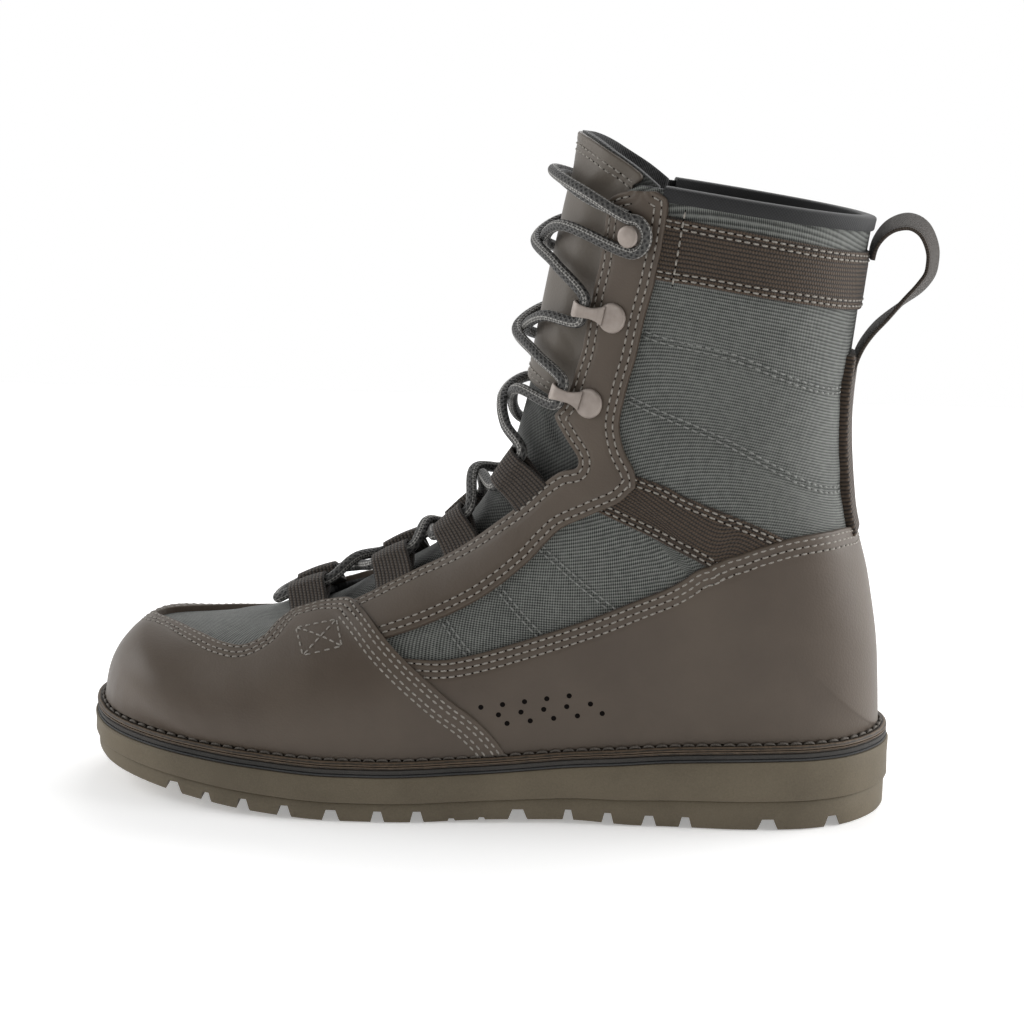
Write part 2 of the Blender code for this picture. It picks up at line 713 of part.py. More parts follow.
def spread(edges, steps, side):
    """Rows of an edge table at equal steps down it, turned to one side of the boot."""
    places = np.linspace(0, len(edges) - 1, steps + 1)
    fields = [curve(range(len(edges)), field, places) for field in zip(*edges)]
    return np.column_stack([fields[0], side * fields[1], fields[2], side * fields[3]])


def patch(form, name, columns, rows, thick, finish, lift=SHELL + SEAT):
    """Sheet over the form between a foot edge and a top edge, of one thickness."""
    share = np.linspace(0.0, 1.0, rows + 1)[:, None]
    station = columns[:, 0] + (columns[:, 2] - columns[:, 0]) * share
    around = columns[:, 1] + (columns[:, 3] - columns[:, 1]) * share
    outer = on_seat(form.at(station, around, lift + thick))
    inner = on_seat(form.at(station, around, lift))
    return wall(name, outer, inner, grid_faces(rows + 1, len(columns)), finish)


def both_sides(edges, steps, joined_at_end):
    """Columns of both sides of the boot, joined where the table starts or where it ends."""
    lateral, medial = spread(edges, steps, -1), spread(edges, steps, 1)
    if joined_at_end:
        return np.vstack([lateral, medial[::-1]])
    return np.vstack([lateral[::-1], medial[1:]])


def make_overlays(form, leather, webbing):
    """Leather and webbing sewn on the shell."""
    patch(form, "vamp", both_sides(VAMP, 28, False), 9, LEATHER, leather, SHELL + 2.2 * SEAT)
    patch(form, "counter", both_sides(COUNTER, 21, True), 8, LEATHER, leather)
    patch(form, "collar_band", both_sides(COLLAR_BAND, 12, True), 3, WEBBING, webbing)
    patch(form, "back_strap", both_sides(BACK_STRAP, 2, True), 4, 2 * WEBBING, webbing)
    for name, side in (("lateral", -1), ("medial", 1)):
        patch(form, "eyestay_" + name, spread(EYESTAY, 36, side), 3, LEATHER, leather)
        patch(form, "side_strap_" + name, spread(SIDE_STRAP, 6, side), 4, WEBBING, webbing)


def tongue_half(station):
    """Half the tongue's width as a share around."""
    return curve([row.station for row in TONGUE], [row.around for row in TONGUE], station)


def throat_half(station):
    """Half the throat's opening as a share around, at its narrowest close by."""
    knots, values = [row.station for row in THROAT], [row.around for row in THROAT]
    station = np.asarray(station, float)
    return np.min([curve(knots, values, station + shift) for shift in (-0.35, -0.15, 0.0, 0.15, 0.35)], 0)


def tongue_lift(station, around):
    """Lift of the tongue's outer face: under the shell at its edges, up in the throat."""
    under = SHELL - UPPER_WALL - 0.0007
    half = np.where(station < COLLAR_STATION + 0.2, throat_half(station), 0.30)
    rise = 1 - smooth_step(0.60, 0.93, np.abs(around) / half)
    rise = rise * smooth_step(THROAT_END + 0.15, THROAT_END + 0.9, station)
    return under + (TONGUE_LIFT - under) * rise


def make_tongue(form, finish):
    """Fabric tongue, its sides tucked under the shell."""
    share = np.linspace(-1.0, 1.0, 13)
    along = np.linspace(0.0, 1.0, 26)[:, None]
    top = TONGUE_TOP - TONGUE_DROP * np.abs(share) ** 2.6
    station = TONGUE_START + (top - TONGUE_START) * along
    around = tongue_half(station) * share
    lift = tongue_lift(station, around)
    outer = form.at(station, around, lift)
    inner = form.at(station, around, lift - TONGUE_THICK)
    return wall("tongue", outer, inner, grid_faces(26, 13), finish)


def make_tongue_facing(form, finish):
    """Leather on the tongue's upper half."""
    share = np.linspace(-1.0, 1.0, 9)
    along = np.linspace(0.0, 1.0, 16)[:, None]
    start = FACING_START + 0.45 * share**2
    top = TONGUE_TOP - 0.06 - 0.9 * TONGUE_DROP * np.abs(share) ** 2.6
    station = start + (top - start) * along
    half = np.where(station < 17.2, throat_half(station) - 0.035, 0.0)
    wide = throat_half(np.full_like(station, 17.2)) - 0.035
    half = np.where(station < 17.2, half, wide + 0.03 * smooth_step(17.9, 18.6, station))
    around = half * share
    lift = tongue_lift(station, around) + SEAT
    outer = form.at(station, around, lift + LEATHER - 0.0003)
    inner = form.at(station, around, lift)
    return wall("tongue_facing", outer, inner, grid_faces(16, 9), finish)


def frame_at(form, station, around, lift=0.0):
    """Origin on the form with its normal, and the ways along the stations and across to the back."""
    origin = form.at(station, around, lift)
    normal = form.at(station, around, lift + 0.001) - origin
    normal /= np.linalg.norm(normal)
    along = form.at(station + 0.1, around, lift) - form.at(station - 0.1, around, lift)
    along -= normal * (along @ normal)
    along /= np.linalg.norm(along)
    return origin, normal, along, np.cross(normal, along)


def make_loop(form, name, row, side, finish):
    """Webbing loop beside the throat: a flat sleeve that the lace runs through along the foot."""
    origin, normal, along, across = frame_at(form, row.station, side * row.around, LOOP_LIFT)
    turn = np.linspace(0, 2 * np.pi, 14, endpoint=False)
    width = np.sign(np.cos(turn)) * np.abs(np.cos(turn)) ** 0.7
    height = np.sign(np.sin(turn)) * np.abs(np.sin(turn)) ** 0.8
    rings = []
    for inset in (0.0, LOOP_STRAP):
        for end in (-0.5, 0.5):
            ring = (
                origin
                + np.outer(width * (LOOP_HALF_WIDTH - inset), across)
                + np.outer(height * (LOOP_HALF_HEIGHT - inset), normal)
                + along * end * LOOP_LENGTH
            )
            rings.append(ring)
    count = len(turn)
    faces = []
    for low, high in ((0, 1), (1, 3), (3, 2), (2, 0)):
        for k in range(count):
            n = (k + 1) % count
            faces.append((low * count + k, low * count + n, high * count + n, high * count + k))
    return add_object(name, np.vstack(rings), faces, finish)


def lathe(name, origin, normal, along, profile, sides, finish):
    """Solid turned round a normal from pairs of radius and height."""
    across = np.cross(normal, along)
    turn = np.linspace(0, 2 * np.pi, sides, endpoint=False)
    vertices = [origin + normal * profile[0][1]]
    for radius, height in profile:
        for angle in turn:
            spoke = along * np.cos(angle) + across * np.sin(angle)
            vertices.append(origin + spoke * radius + normal * height)
    vertices.append(origin + normal * profile[-1][1])
    faces = []
    for k in range(sides):
        n = (k + 1) % sides
        faces.append((0, 1 + n, 1 + k))
        for ring in range(len(profile) - 1):
            low, high = 1 + ring * sides, 1 + (ring + 1) * sides
            faces.append((low + k, low + n, high + n, high + k))
        last = 1 + (len(profile) - 1) * sides
        faces.append((len(vertices) - 1, last + k, last + n))
    return add_object(name, vertices, faces, finish)


def sweep_strap(path, across, width, thick):
    """Points and faces of a flat strap swept along a path, its width along one fixed way."""
    path, across = np.asarray(path, float), np.asarray(across, float)
    step = np.gradient(path, axis=0)
    step /= np.linalg.norm(step, axis=1)[:, None]
    normal = np.cross(step, across)
    normal /= np.linalg.norm(normal, axis=1)[:, None]
    width = np.broadcast_to(width, len(path))[:, None]
    corners = [
        path + sign_w * across * width / 2 + sign_t * normal * thick / 2
        for sign_w, sign_t in ((-1, -1), (1, -1), (1, 1), (-1, 1))
    ]
    vertices = np.stack(corners, 1).reshape(-1, 3)
    faces = [
        (4 * k + c, 4 * k + (c + 1) % 4, 4 * k + 4 + (c + 1) % 4, 4 * k + 4 + c)
        for k in range(len(path) - 1)
        for c in range(4)
    ]
    last = 4 * (len(path) - 1)
    faces += [(0, 1, 2, 3), (last + 3, last + 2, last + 1, last)]
    return vertices, faces


def hook_frame(form, row, side):
    """Base of a hook on the leather, its normal, the way its arm points, and the way across it."""
    lift = SHELL + SEAT + LEATHER + 0.0006
    origin, normal, _, _ = frame_at(form, row.station, side * row.around, lift)
    toward = form.at(row.station - 0.55, side * (row.around - 0.105), lift) - origin
    toward -= normal * (toward @ normal)
    toward /= np.linalg.norm(toward)
    return origin, normal, toward, np.cross(normal, toward)


def make_hook(form, name, row, side, finish):
    """Speed hook: a disc whose arm rises from its top and curls down round the lace."""
    origin, normal, toward, across = hook_frame(form, row, side)
    disc = lathe(
        name,
        origin,
        normal,
        toward,
        ((HOOK_DISC / 2, 0.0), (HOOK_DISC / 2, 0.0012), (HOOK_DISC / 2 - 0.0006, 0.0017)),
        16,
        finish,
    )
    turn = np.radians(np.linspace(90, -90, 7))
    top = HOOK_RISE + HOOK_BEND
    out = np.concatenate(
        [[0.0010, 0.4 * HOOK_REACH, 0.64 * HOOK_REACH, 0.82 * HOOK_REACH], HOOK_REACH + HOOK_BEND * np.cos(turn)]
    )
    up = np.concatenate([[0.0010, 0.24 * top, 0.61 * top, 0.91 * top], HOOK_RISE + HOOK_BEND * np.sin(turn)])
    out = np.append(out, HOOK_REACH - 0.0013)
    up = np.append(up, HOOK_RISE - HOOK_BEND)
    path = origin + np.outer(out, toward) + np.outer(up, normal)
    widths = np.linspace(HOOK_BAR, HOOK_BAR - 0.0012, len(path))
    vertices, faces = sweep_strap(path, across, widths, HOOK_PLATE)
    arm = add_object(name + "_arm", vertices, faces, finish)
    arm.hide_render = True
    arm.display_type = "WIRE"
    union = disc.modifiers.new("arm", "BOOLEAN")
    union.operation = "UNION"
    union.solver = "EXACT"
    union.object = arm
    return disc


def stud_frame(form, side):
    """Base of the lace stud on the leather, its normal, and the ways along and across."""
    return frame_at(form, STUD.station, side * STUD.around, SHELL + SEAT + LEATHER + 0.0006)


def make_stud(form, name, side, finish):
    """Lace stud: base, neck and cap in one."""
    origin, normal, along, _ = stud_frame(form, side)
    cap = STUD_CAP / 2
    profile = (
        (cap, 0.0),
        (cap, 0.0006),
        (STUD_NECK, 0.0011),
        (STUD_NECK, STUD_HEIGHT - 0.0016),
        (cap, STUD_HEIGHT - 0.0010),
        (cap - 0.0008, STUD_HEIGHT),
    )
    return lathe(name, origin, normal, along, profile, 14, finish)


def round_path(keys, step=0.011, turn=0.55):
    """Smooth path through the key points, its steps no longer and no sharper than stated."""
    keys = np.asarray(keys, float)
    chord = np.concatenate([[0.0], np.cumsum(np.sqrt(np.linalg.norm(np.diff(keys, axis=0), axis=1)))])
    fine = np.linspace(0.0, chord[-1], 40 * len(keys))
    slopes = np.gradient(keys, chord, axis=0)
    left = np.clip(np.searchsorted(chord, fine, side="right") - 1, 0, len(keys) - 2)
    span = (chord[left + 1] - chord[left])[:, None]
    s = ((fine - chord[left])[:, None]) / span
    rest = 1 - s
    path = (
        (1 + 2 * s) * rest * rest * keys[left]
        + s * rest * rest * span * slopes[left]
        + s * s * (3 - 2 * s) * keys[left + 1]
        - s * s * rest * span * slopes[left + 1]
    )
    steps = np.diff(path, axis=0)
    spans = np.linalg.norm(steps, axis=1)
    ways = steps / spans[:, None]
    turned = np.concatenate([[0.0], np.arccos(np.clip((ways[1:] * ways[:-1]).sum(1), -1, 1))])
    effort = np.concatenate([[0.0], np.cumsum(spans / step + turned / turn)])
    places = np.linspace(0.0, effort[-1], int(round(effort[-1])) + 1)
    return np.column_stack([np.interp(places, effort, path[:, k]) for k in range(3)])


def tube(name, path, radius, sides, finish):
    """Round tube along a path, closed at both ends."""
    step = np.gradient(path, axis=0)
    step /= np.linalg.norm(step, axis=1)[:, None]
    normal = np.cross(step[0], (0.31, 0.87, 0.38))
    vertices = []
    for point, way in zip(path, step):
        normal = normal - way * (normal @ way)
        normal /= np.linalg.norm(normal)
        other = np.cross(way, normal)
        for angle in np.linspace(0, 2 * np.pi, sides, endpoint=False):
            vertices.append(point + radius * (normal * np.cos(angle) + other * np.sin(angle)))
    faces = [
        (sides * k + c, sides * k + (c + 1) % sides, sides * (k + 1) + (c + 1) % sides, sides * (k + 1) + c)
        for k in range(len(path) - 1)
        for c in range(sides)
    ]
    last = sides * (len(path) - 1)
    faces += [tuple(range(sides))[::-1], tuple(range(last, last + sides))]
    return add_object(name, vertices, faces, finish)


def lace_pass(form, row, side):
    """Two points of the lace where it passes a loop or a hook, lower one first."""
    if row in LOOPS:
        origin, _, along, _ = frame_at(form, row.station, side * row.around, LOOP_LIFT)
        return origin - along * LOOP_LENGTH * 0.56, origin + along * LOOP_LENGTH * 0.56
    origin, normal, toward, across = hook_frame(form, row, side)
    _, _, along, _ = frame_at(form, row.station, side * row.around, 0.0)
    across = across * np.sign(across @ along)
    middle = origin + toward * (HOOK_REACH - 0.0002) + normal * HOOK_RISE
    return middle - across * 0.0050, middle + across * 0.0050


def lace_half(form, side, first):
    """Key points of one half of the lace, from the lowest loop of one side up to its stud."""
    rows = LOOPS + HOOKS
    keys = []
    if first:
        station = LOOPS[0].station - 0.42
        lower, _ = lace_pass(form, LOOPS[0], -side)
        keys += [lower - (lace_pass(form, LOOPS[0], -side)[1] - lower) * 0.18]
        keys += [form.at(station, -side * 0.09, LACE_LIFT), form.at(station, 0.0, LACE_LIFT)]
        keys += [form.at(station, side * 0.09, LACE_LIFT)]
    else:
        lower, upper = lace_pass(form, LOOPS[0], side)
        keys += [lower - (upper - lower) * 0.18]
    for count, row in enumerate(rows):
        lower, upper = lace_pass(form, row, side)
        keys += [lower, (lower + upper) / 2, upper]
        above = rows[count + 1] if count + 1 < len(rows) else STUD
        start, end = (place.station - (HOOK_DROP if place in HOOKS else 0.0) for place in (row, above))
        for share, across in ((0.3, 0.45), (0.5, 0.0), (0.7, -0.45)):
            if count >= 3 or across == 0.0:
                around = side * row.around * across
                sag = LACE_SAG[count] * (1 - abs(across)) ** 1.6
                keys.append(form.at(start + (end - start) * share - sag, around, LACE_LIFT))
        side = -side
    origin, normal, along, across = stud_frame(form, side)
    ring = STUD_NECK + LACE_RADIUS + 0.0009
    height = normal * 0.0034
    for angle in (200, 145, 90, 35) if first else (200,):
        turned = np.radians(angle)
        keys.append(origin + height + ring * (along * np.cos(turned) - side * across * np.sin(turned)))
    return keys, side


def make_lace(form, finish):
    """Lace: two halves that cross over the tongue, joined where they cross."""
    keys, side = lace_half(form, -1, True)
    for station, around in ((17.3, 0.21), (17.5, 0.11), (17.62, 0.0), (17.5, -0.11), (17.3, -0.21)):
        keys.append(form.at(station, side * around, LACE_LIFT))
    origin, normal, along, across = stud_frame(form, -side)
    ring = STUD_NECK + LACE_RADIUS + 0.0009
    for angle in (35, 90, 145):
        turned = np.radians(angle)
        keys.append(origin + normal * 0.0034 + ring * (along * np.cos(turned) + side * across * np.sin(turned)))
    lace = tube("lace", round_path(keys), LACE_RADIUS, LACE_SIDES, finish)
    keys, side = lace_half(form, 1, False)
    origin, normal, along, across = stud_frame(form, side)
    turned = np.radians(150)
    keys[-1] = origin + normal * 0.0034 + ring * (along * np.cos(turned) - side * across * np.sin(turned))
    other = tube("lace_half", round_path(keys), LACE_RADIUS, LACE_SIDES, finish)
    other.hide_render = True
    other.display_type = "WIRE"
    union = lace.modifiers.new("half", "BOOLEAN")
    union.operation = "UNION"
    union.solver = "EXACT"
    union.object = other
    return lace


def make_pull_loop(form, finish):
    """Webbing loop that stands out behind the collar."""
    back_x = form.at(COLLAR_STATION, 1.0)[0]
    knots = range(len(PULL_LOOP))
    places = np.linspace(0, len(PULL_LOOP) - 1, 23)
    x = back_x + curve(knots, [row[0] for row in PULL_LOOP], places)
    z = curve(knots, [row[1] for row in PULL_LOOP], places)
    path = np.column_stack([x, np.zeros_like(x), z])
    vertices, faces = sweep_strap(path, (0.0, 1.0, 0.0), PULL_LOOP_WIDTH, PULL_LOOP_THICK)
    return add_object("pull_loop", vertices, faces, finish)


def make_binding(form, finish):
    """Edge binding folded over the collar from one facing round the back to the other."""
    share = np.linspace(0.415, 1.0, 13)
    around = np.concatenate([-share, share[:-1][::-1]])
    outside = SHELL + 1.4 * SEAT
    inside = SHELL - UPPER_WALL - 1.6 * SEAT
    profile = (
        (-BINDING_DEPTH, outside),
        (-BINDING_DEPTH, outside + BINDING_THICK),
        (0.0006, outside + BINDING_THICK),
        (0.0015, outside),
        (0.0015, inside),
        (0.0006, inside - BINDING_THICK),
        (-BINDING_DEPTH, inside - BINDING_THICK),
        (-BINDING_DEPTH, inside),
        (0.0004, inside),
        (0.0004, outside),
    )
    rings = []
    for place in around:
        _, _, along, _ = frame_at(form, COLLAR_STATION, place)
        rings.append([form.at(COLLAR_STATION, place, lift) + along * up for up, lift in profile])
    vertices = np.array(rings).reshape(-1, 3)
    count = len(profile)
    faces = [
        (count * k + c, count * k + (c + 1) % count, count * (k + 1) + (c + 1) % count, count * (k + 1) + c)
        for k in range(len(around) - 1)
        for c in range(count)
    ]
    last = count * (len(around) - 1)
    for start in (0, last):
        for c in ((0, 1, 2, 9), (2, 3, 9), (3, 4, 8, 9), (4, 5, 8), (5, 6, 7, 8)):
            faces.append(tuple(start + k for k in c))
    return add_object("collar_binding", vertices, faces, finish)


def centre_on_floor():
    """Move every mesh so that the part's box stands on the origin."""
    meshes = [item for item in bpy.data.objects if item.type == "MESH"]
    corners = np.array([v.co for item in meshes if not item.hide_render for v in item.data.vertices])
    low, high = corners.min(0), corners.max(0)
    shift = Matrix.Translation((-(low[0] + high[0]) / 2, -(low[1] + high[1]) / 2, -low[2]))
    for item in meshes:
        item.data.transform(shift)
    print("moved by", [round(value, 6) for value in shift.translation])


def main():
    """Build the boot in an empty scene."""
    for item in list(bpy.data.objects):
        bpy.data.objects.remove(item)
    rubber = material("outsole_rubber", (0.127, 0.107, 0.076), 0.85)
    black = material("midsole_rubber", (0.012, 0.012, 0.012), 0.7)
    welt = material("welt_leather", (0.055, 0.036, 0.024), 0.7)
    foam = material("insole_foam", (0.04, 0.04, 0.04), 0.9)
    leather = material("leather", (0.105, 0.085, 0.072), 0.6)
    fabric = material("fabric", (0.075, 0.085, 0.082), 0.9)
    webbing = material("webbing", (0.070, 0.050, 0.034), 0.85)
    binding = material("binding", (0.026, 0.026, 0.026), 0.8)
    metal = material("hook_metal", (0.30, 0.25, 0.22), 0.45, 0.8)
    cord = material("lace_cord", (0.045, 0.045, 0.043), 0.85)
    form = UpperForm()
    make_outsole(rubber)
    make_midsole(black)
    make_welt(welt)
    make_insole(foam)
    make_upper(form, fabric)
    make_tongue(form, fabric)
    make_tongue_facing(form, leather)
    make_overlays(form, leather, webbing)
    make_binding(form, binding)
    make_pull_loop(form, webbing)
    for side, name in ((-1, "lateral"), (1, "medial")):
        for row in LOOPS:
            make_loop(form, f"lace_loop_{row.name}_{name}", row, side, webbing)
        for row in HOOKS:
            make_hook(form, f"hook_{row.name}_{name}", row, side, metal)
        make_stud(form, f"stud_{name}", side, metal)
    make_lace(form, cord)
    centre_on_floor()


if __name__ == "__main__":
    main()
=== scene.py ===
"""Dressed model of a wading boot for the left foot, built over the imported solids.

The upper is one surface worked out from a short table of sections. Shell, leather, webbing, tongue
and lace are all laid on that surface at a lift of their own, so that each seam follows the foot.
The toe points along -X, the outer side faces -Y, and the sole stands on z = 0. Sizes are in metres.
"""

from __future__ import annotations

import logging
from collections.abc import Callable, Sequence
from dataclasses import dataclass, field
from enum import Enum
from typing import NamedTuple

import bpy
import numpy as np
from bpy.types import Material, NodeSocket, Object
from mathutils import Matrix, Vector
from mathutils.kdtree import KDTree

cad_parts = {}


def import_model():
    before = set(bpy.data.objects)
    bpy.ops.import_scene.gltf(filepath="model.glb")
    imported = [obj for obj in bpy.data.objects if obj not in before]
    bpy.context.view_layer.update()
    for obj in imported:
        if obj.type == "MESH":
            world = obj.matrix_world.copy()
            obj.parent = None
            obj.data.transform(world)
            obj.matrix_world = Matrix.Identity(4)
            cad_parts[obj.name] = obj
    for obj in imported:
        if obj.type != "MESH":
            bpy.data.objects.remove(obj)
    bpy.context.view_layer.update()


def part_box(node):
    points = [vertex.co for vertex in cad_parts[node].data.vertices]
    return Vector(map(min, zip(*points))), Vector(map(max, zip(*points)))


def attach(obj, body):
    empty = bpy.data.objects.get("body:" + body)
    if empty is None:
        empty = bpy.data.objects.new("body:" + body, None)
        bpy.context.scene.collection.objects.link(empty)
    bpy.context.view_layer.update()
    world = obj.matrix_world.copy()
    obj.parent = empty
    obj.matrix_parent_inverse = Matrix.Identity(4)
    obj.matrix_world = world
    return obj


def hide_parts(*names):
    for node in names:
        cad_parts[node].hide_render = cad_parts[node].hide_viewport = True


log = logging.getLogger("wading_boot")
Array = np.ndarray
Colour = tuple[float, float, float]


class Side(Enum):
    """Side of the boot, by the sign of Y."""

    LATERAL = -1
    MEDIAL = 1


class Join(Enum):
    """Where the two sides of a panel meet: nowhere, at its table's start or at its end."""

    NONE = 0
    START = 1
    END = 2


class Girth(NamedTuple):
    """Half widths of the sole at one place along from the heel, as shares of half the local width."""

    along: float
    lateral: float
    medial: float


class Section(NamedTuple):
    """One section of the upper, from a point on the front line to one on the sole edge or back line."""

    front_along: float
    front_up: float
    back_along: float
    back_up: float
    feather: float
    lateral: float
    medial: float
    belly: float
    crown: float
    side: float
    base: float
    ridge: float


class Cut(NamedTuple):
    """One line across a panel, from its foot edge to its top edge, by station and share around."""

    foot_station: float
    foot_around: float
    top_station: float
    top_around: float


class Spot(NamedTuple):
    """A place on the upper by station and share around."""

    station: float
    around: float


class Groove(NamedTuple):
    """One cross groove of the tread: place along from the heel, width and depth."""

    along: float
    width: float
    depth: float


def table(kind: type, rows: Sequence[Sequence[float]]) -> tuple:
    """Rows of numbers as named rows of one kind."""
    return tuple(kind(*row) for row in rows)


OUTLINE = table(Girth, (
    (0.0, 0.0, 0.0), (0.02, 0.455, 0.455), (0.06, 0.75, 0.75), (0.12, 0.925, 0.925), (0.2, 0.995, 0.97),
    (0.3, 1.0, 0.906), (0.4, 0.92, 0.775), (0.5, 0.912, 0.752), (0.6, 0.981, 0.88), (0.68, 1.0, 0.954),
    (0.76, 0.972, 0.972), (0.84, 0.87, 0.935), (0.91, 0.704, 0.824), (0.96, 0.49, 0.64),
    (0.985, 0.27, 0.445), (1.0, -0.093, 0.093),
))
SECTIONS = table(Section, (
    (1.0, 0.0, 0.845, 0.0, 1.0, 0.0, 0.0, 0.02, 2.4, 2.4, 2.0, 0.046),
    (0.992, 0.051, 0.842, 0.0, 1.0, 0.008, 0.008, 0.06, 2.4, 2.4, 2.0, 0.046),
    (0.973, 0.1095, 0.835, 0.0, 1.0, 0.015, 0.015, 0.12, 2.4, 2.4, 2.0, 0.046),
    (0.934, 0.161, 0.822, 0.0, 1.0, 0.02, 0.02, 0.16, 2.3, 2.3, 2.0, 0.046),
    (0.871, 0.173, 0.798, 0.0, 1.0, 0.025, 0.025, 0.18, 2.2, 2.2, 2.0, 0.042),
    (0.792, 0.2015, 0.755, 0.0, 1.0, 0.025, 0.025, 0.2, 2.2, 2.2, 2.0, 0.036),
    (0.699, 0.262, 0.682, 0.0, 1.0, 0.015, 0.02, 0.22, 2.1, 2.1, 2.0, 0.028),
    (0.616, 0.321, 0.593, 0.0, 1.0, 0.0, 0.05, 0.24, 2.0, 2.0, 2.0, 0.02),
    (0.546, 0.3855, 0.474, 0.0, 1.0, 0.005, 0.1, 0.26, 2.0, 2.0, 2.2, 0.012),
    (0.5, 0.465, 0.341, 0.0, 0.6, 0.345, 0.4, 0.32, 2.1, 2.0, 2.6, 0.006),
    (0.47, 0.5495, 0.195, 0.0, 0.3, 0.615, 0.624, 0.4, 2.3, 2.0, 3.0, 0.0),
    (0.454, 0.634, 0.069, 0.0, 0.0, 0.888, 0.888, 0.47, 2.4, 2.0, 3.4, 0.0),
    (0.442, 0.7225, 0.0, 0.0, 0.0, 0.893, 0.893, 0.5, 2.5, 2.0, 3.4, 0.0),
    (0.431, 0.8065, 0.005, 0.1325, 0.0, 0.888, 0.888, 0.5, 2.5, 2.0, 3.2, 0.0),
    (0.421, 0.8805, 0.02, 0.2775, 0.0, 0.885, 0.885, 0.5, 2.4, 2.0, 3.0, 0.0),
    (0.411, 0.9445, 0.044, 0.4275, 0.0, 0.895, 0.895, 0.5, 2.3, 2.0, 2.8, 0.0),
    (0.404, 0.994, 0.052, 0.5875, 0.0, 0.92, 0.92, 0.5, 2.2, 2.0, 2.6, 0.0),
    (0.399, 1.024, 0.042, 0.761, 0.0, 0.965, 0.965, 0.5, 2.1, 2.0, 2.4, 0.0),
    (0.394, 1.0515, 0.027, 0.941, 0.0, 1.0, 1.0, 0.5, 2.1, 2.0, 2.3, 0.0),
    (0.388, 1.124, 0.012, 1.022, 0.0, 1.02, 1.02, 0.5, 2.1, 2.0, 2.3, 0.0),
))
OUTLINE_STEPS = 34
HEEL_STATION = 12
COLLAR_STATION = 18
CROWN_STATION = 3.0

VAMP = table(Cut, (
    (0.0, 0.0, 2.95, 0.0), (0.0, 0.2, 3.15, 0.06), (0.0, 0.45, 3.45, 0.12), (0.0, 0.72, 3.8, 0.2),
    (0.0, 1.0, 4.2, 0.3), (2.6, 1.0, 4.6, 0.4), (4.0, 1.0, 4.95, 0.445), (5.0, 1.0, 5.25, 0.405),
    (5.8, 1.0, 5.45, 0.28), (6.6, 1.0, 5.65, 0.22), (7.2, 1.0, 5.95, 0.22), (7.7, 1.0, 6.28, 0.25),
    (8.14, 1.0, 6.6, 0.325),
))
VAMP_REAR = table(Spot, (
    (6.6, 0.325), (6.85, 0.43), (7.05, 0.515), (7.33, 0.62), (7.57, 0.707), (7.76, 0.78), (7.95, 0.85),
    (8.08, 0.92), (8.14, 0.97), (8.16, 1.0),
))
COUNTER = table(Cut, (
    (8.1, 1.0, 7.22, 0.6), (8.8, 1.0, 7.87, 0.628), (9.4, 1.0, 8.7, 0.613), (10.0, 1.0, 9.53, 0.593),
    (10.6, 1.0, 10.41, 0.569), (11.0, 1.0, 11.19, 0.552), (11.3, 1.0, 11.62, 0.532),
    (11.52, 1.0, 12.02, 0.517), (11.66, 1.0, 12.42, 0.544), (11.75, 1.0, 12.78, 0.588),
    (11.82, 1.0, 13.22, 0.64), (11.88, 1.0, 13.65, 0.697), (11.92, 1.0, 14.06, 0.765),
    (11.95, 1.0, 14.36, 0.828), (11.98, 1.0, 14.58, 0.893), (12.0, 1.0, 14.74, 1.0),
))
EYESTAY = table(Cut, (
    (6.48, 0.29, 7.02, 0.515), (7.22, 0.24, 7.5, 0.49), (7.72, 0.224, 7.85, 0.468),
    (8.32, 0.226, 8.3, 0.445), (8.99, 0.227, 8.8, 0.415), (9.7, 0.227, 9.3, 0.383),
    (10.26, 0.228, 9.75, 0.352), (10.78, 0.236, 10.15, 0.34), (11.2, 0.258, 10.75, 0.348),
    (11.38, 0.246, 11.35, 0.358), (11.46, 0.205, 11.85, 0.346), (11.63, 0.16, 12.25, 0.333),
    (12.13, 0.166, 12.42, 0.304), (12.72, 0.178, 12.75, 0.29), (13.32, 0.19, 13.4, 0.3),
    (13.99, 0.197, 14.3, 0.325), (14.74, 0.209, 15.2, 0.35), (15.56, 0.226, 16.1, 0.375),
    (16.41, 0.234, 16.9, 0.385), (17.25, 0.238, 17.5, 0.388), (17.63, 0.262, 17.8, 0.383),
    (17.8, 0.29, 17.93, 0.355),
))
COLLAR_BAND = table(Cut, (
    (16.05, 0.372, 17.46, 0.385), (16.48, 0.483, 17.51, 0.464), (16.81, 0.626, 17.58, 0.595),
    (17.01, 0.776, 17.61, 0.745), (17.09, 0.91, 17.63, 0.9), (17.11, 1.0, 17.63, 1.0),
))
SIDE_STRAP = table(Cut, (
    (10.7, 0.316, 12.03, 0.298), (10.86, 0.346, 12.2, 0.333), (11.11, 0.394, 12.53, 0.396),
    (11.38, 0.443, 12.77, 0.464), (11.63, 0.489, 13.05, 0.533), (11.98, 0.53, 13.32, 0.601),
    (12.25, 0.585, 13.62, 0.688), (12.45, 0.64, 13.8, 0.75),
))
BACK_STRAP = table(Cut, (
    (14.5, 0.925, 16.62, 0.925), (14.58, 0.95, 16.64, 0.95), (14.62, 0.975, 16.65, 0.975),
    (14.64, 1.0, 16.65, 1.0),
))
THROAT = table(Spot, (
    (5.6, 0.165), (6.0, 0.2), (6.5, 0.255), (7.2, 0.242), (7.7, 0.226), (9.7, 0.229), (10.78, 0.238),
    (11.2, 0.259), (11.38, 0.249), (11.5, 0.205), (11.66, 0.165), (12.72, 0.181), (13.99, 0.2),
    (15.56, 0.229), (17.25, 0.241), (17.63, 0.266), (18.0, 0.31),
))
TONGUE = table(Spot, (
    (5.35, 0.2), (6.0, 0.262), (7.0, 0.3), (9.0, 0.285), (11.3, 0.3), (12.5, 0.25), (16.0, 0.3),
    (18.0, 0.345), (19.0, 0.31),
))
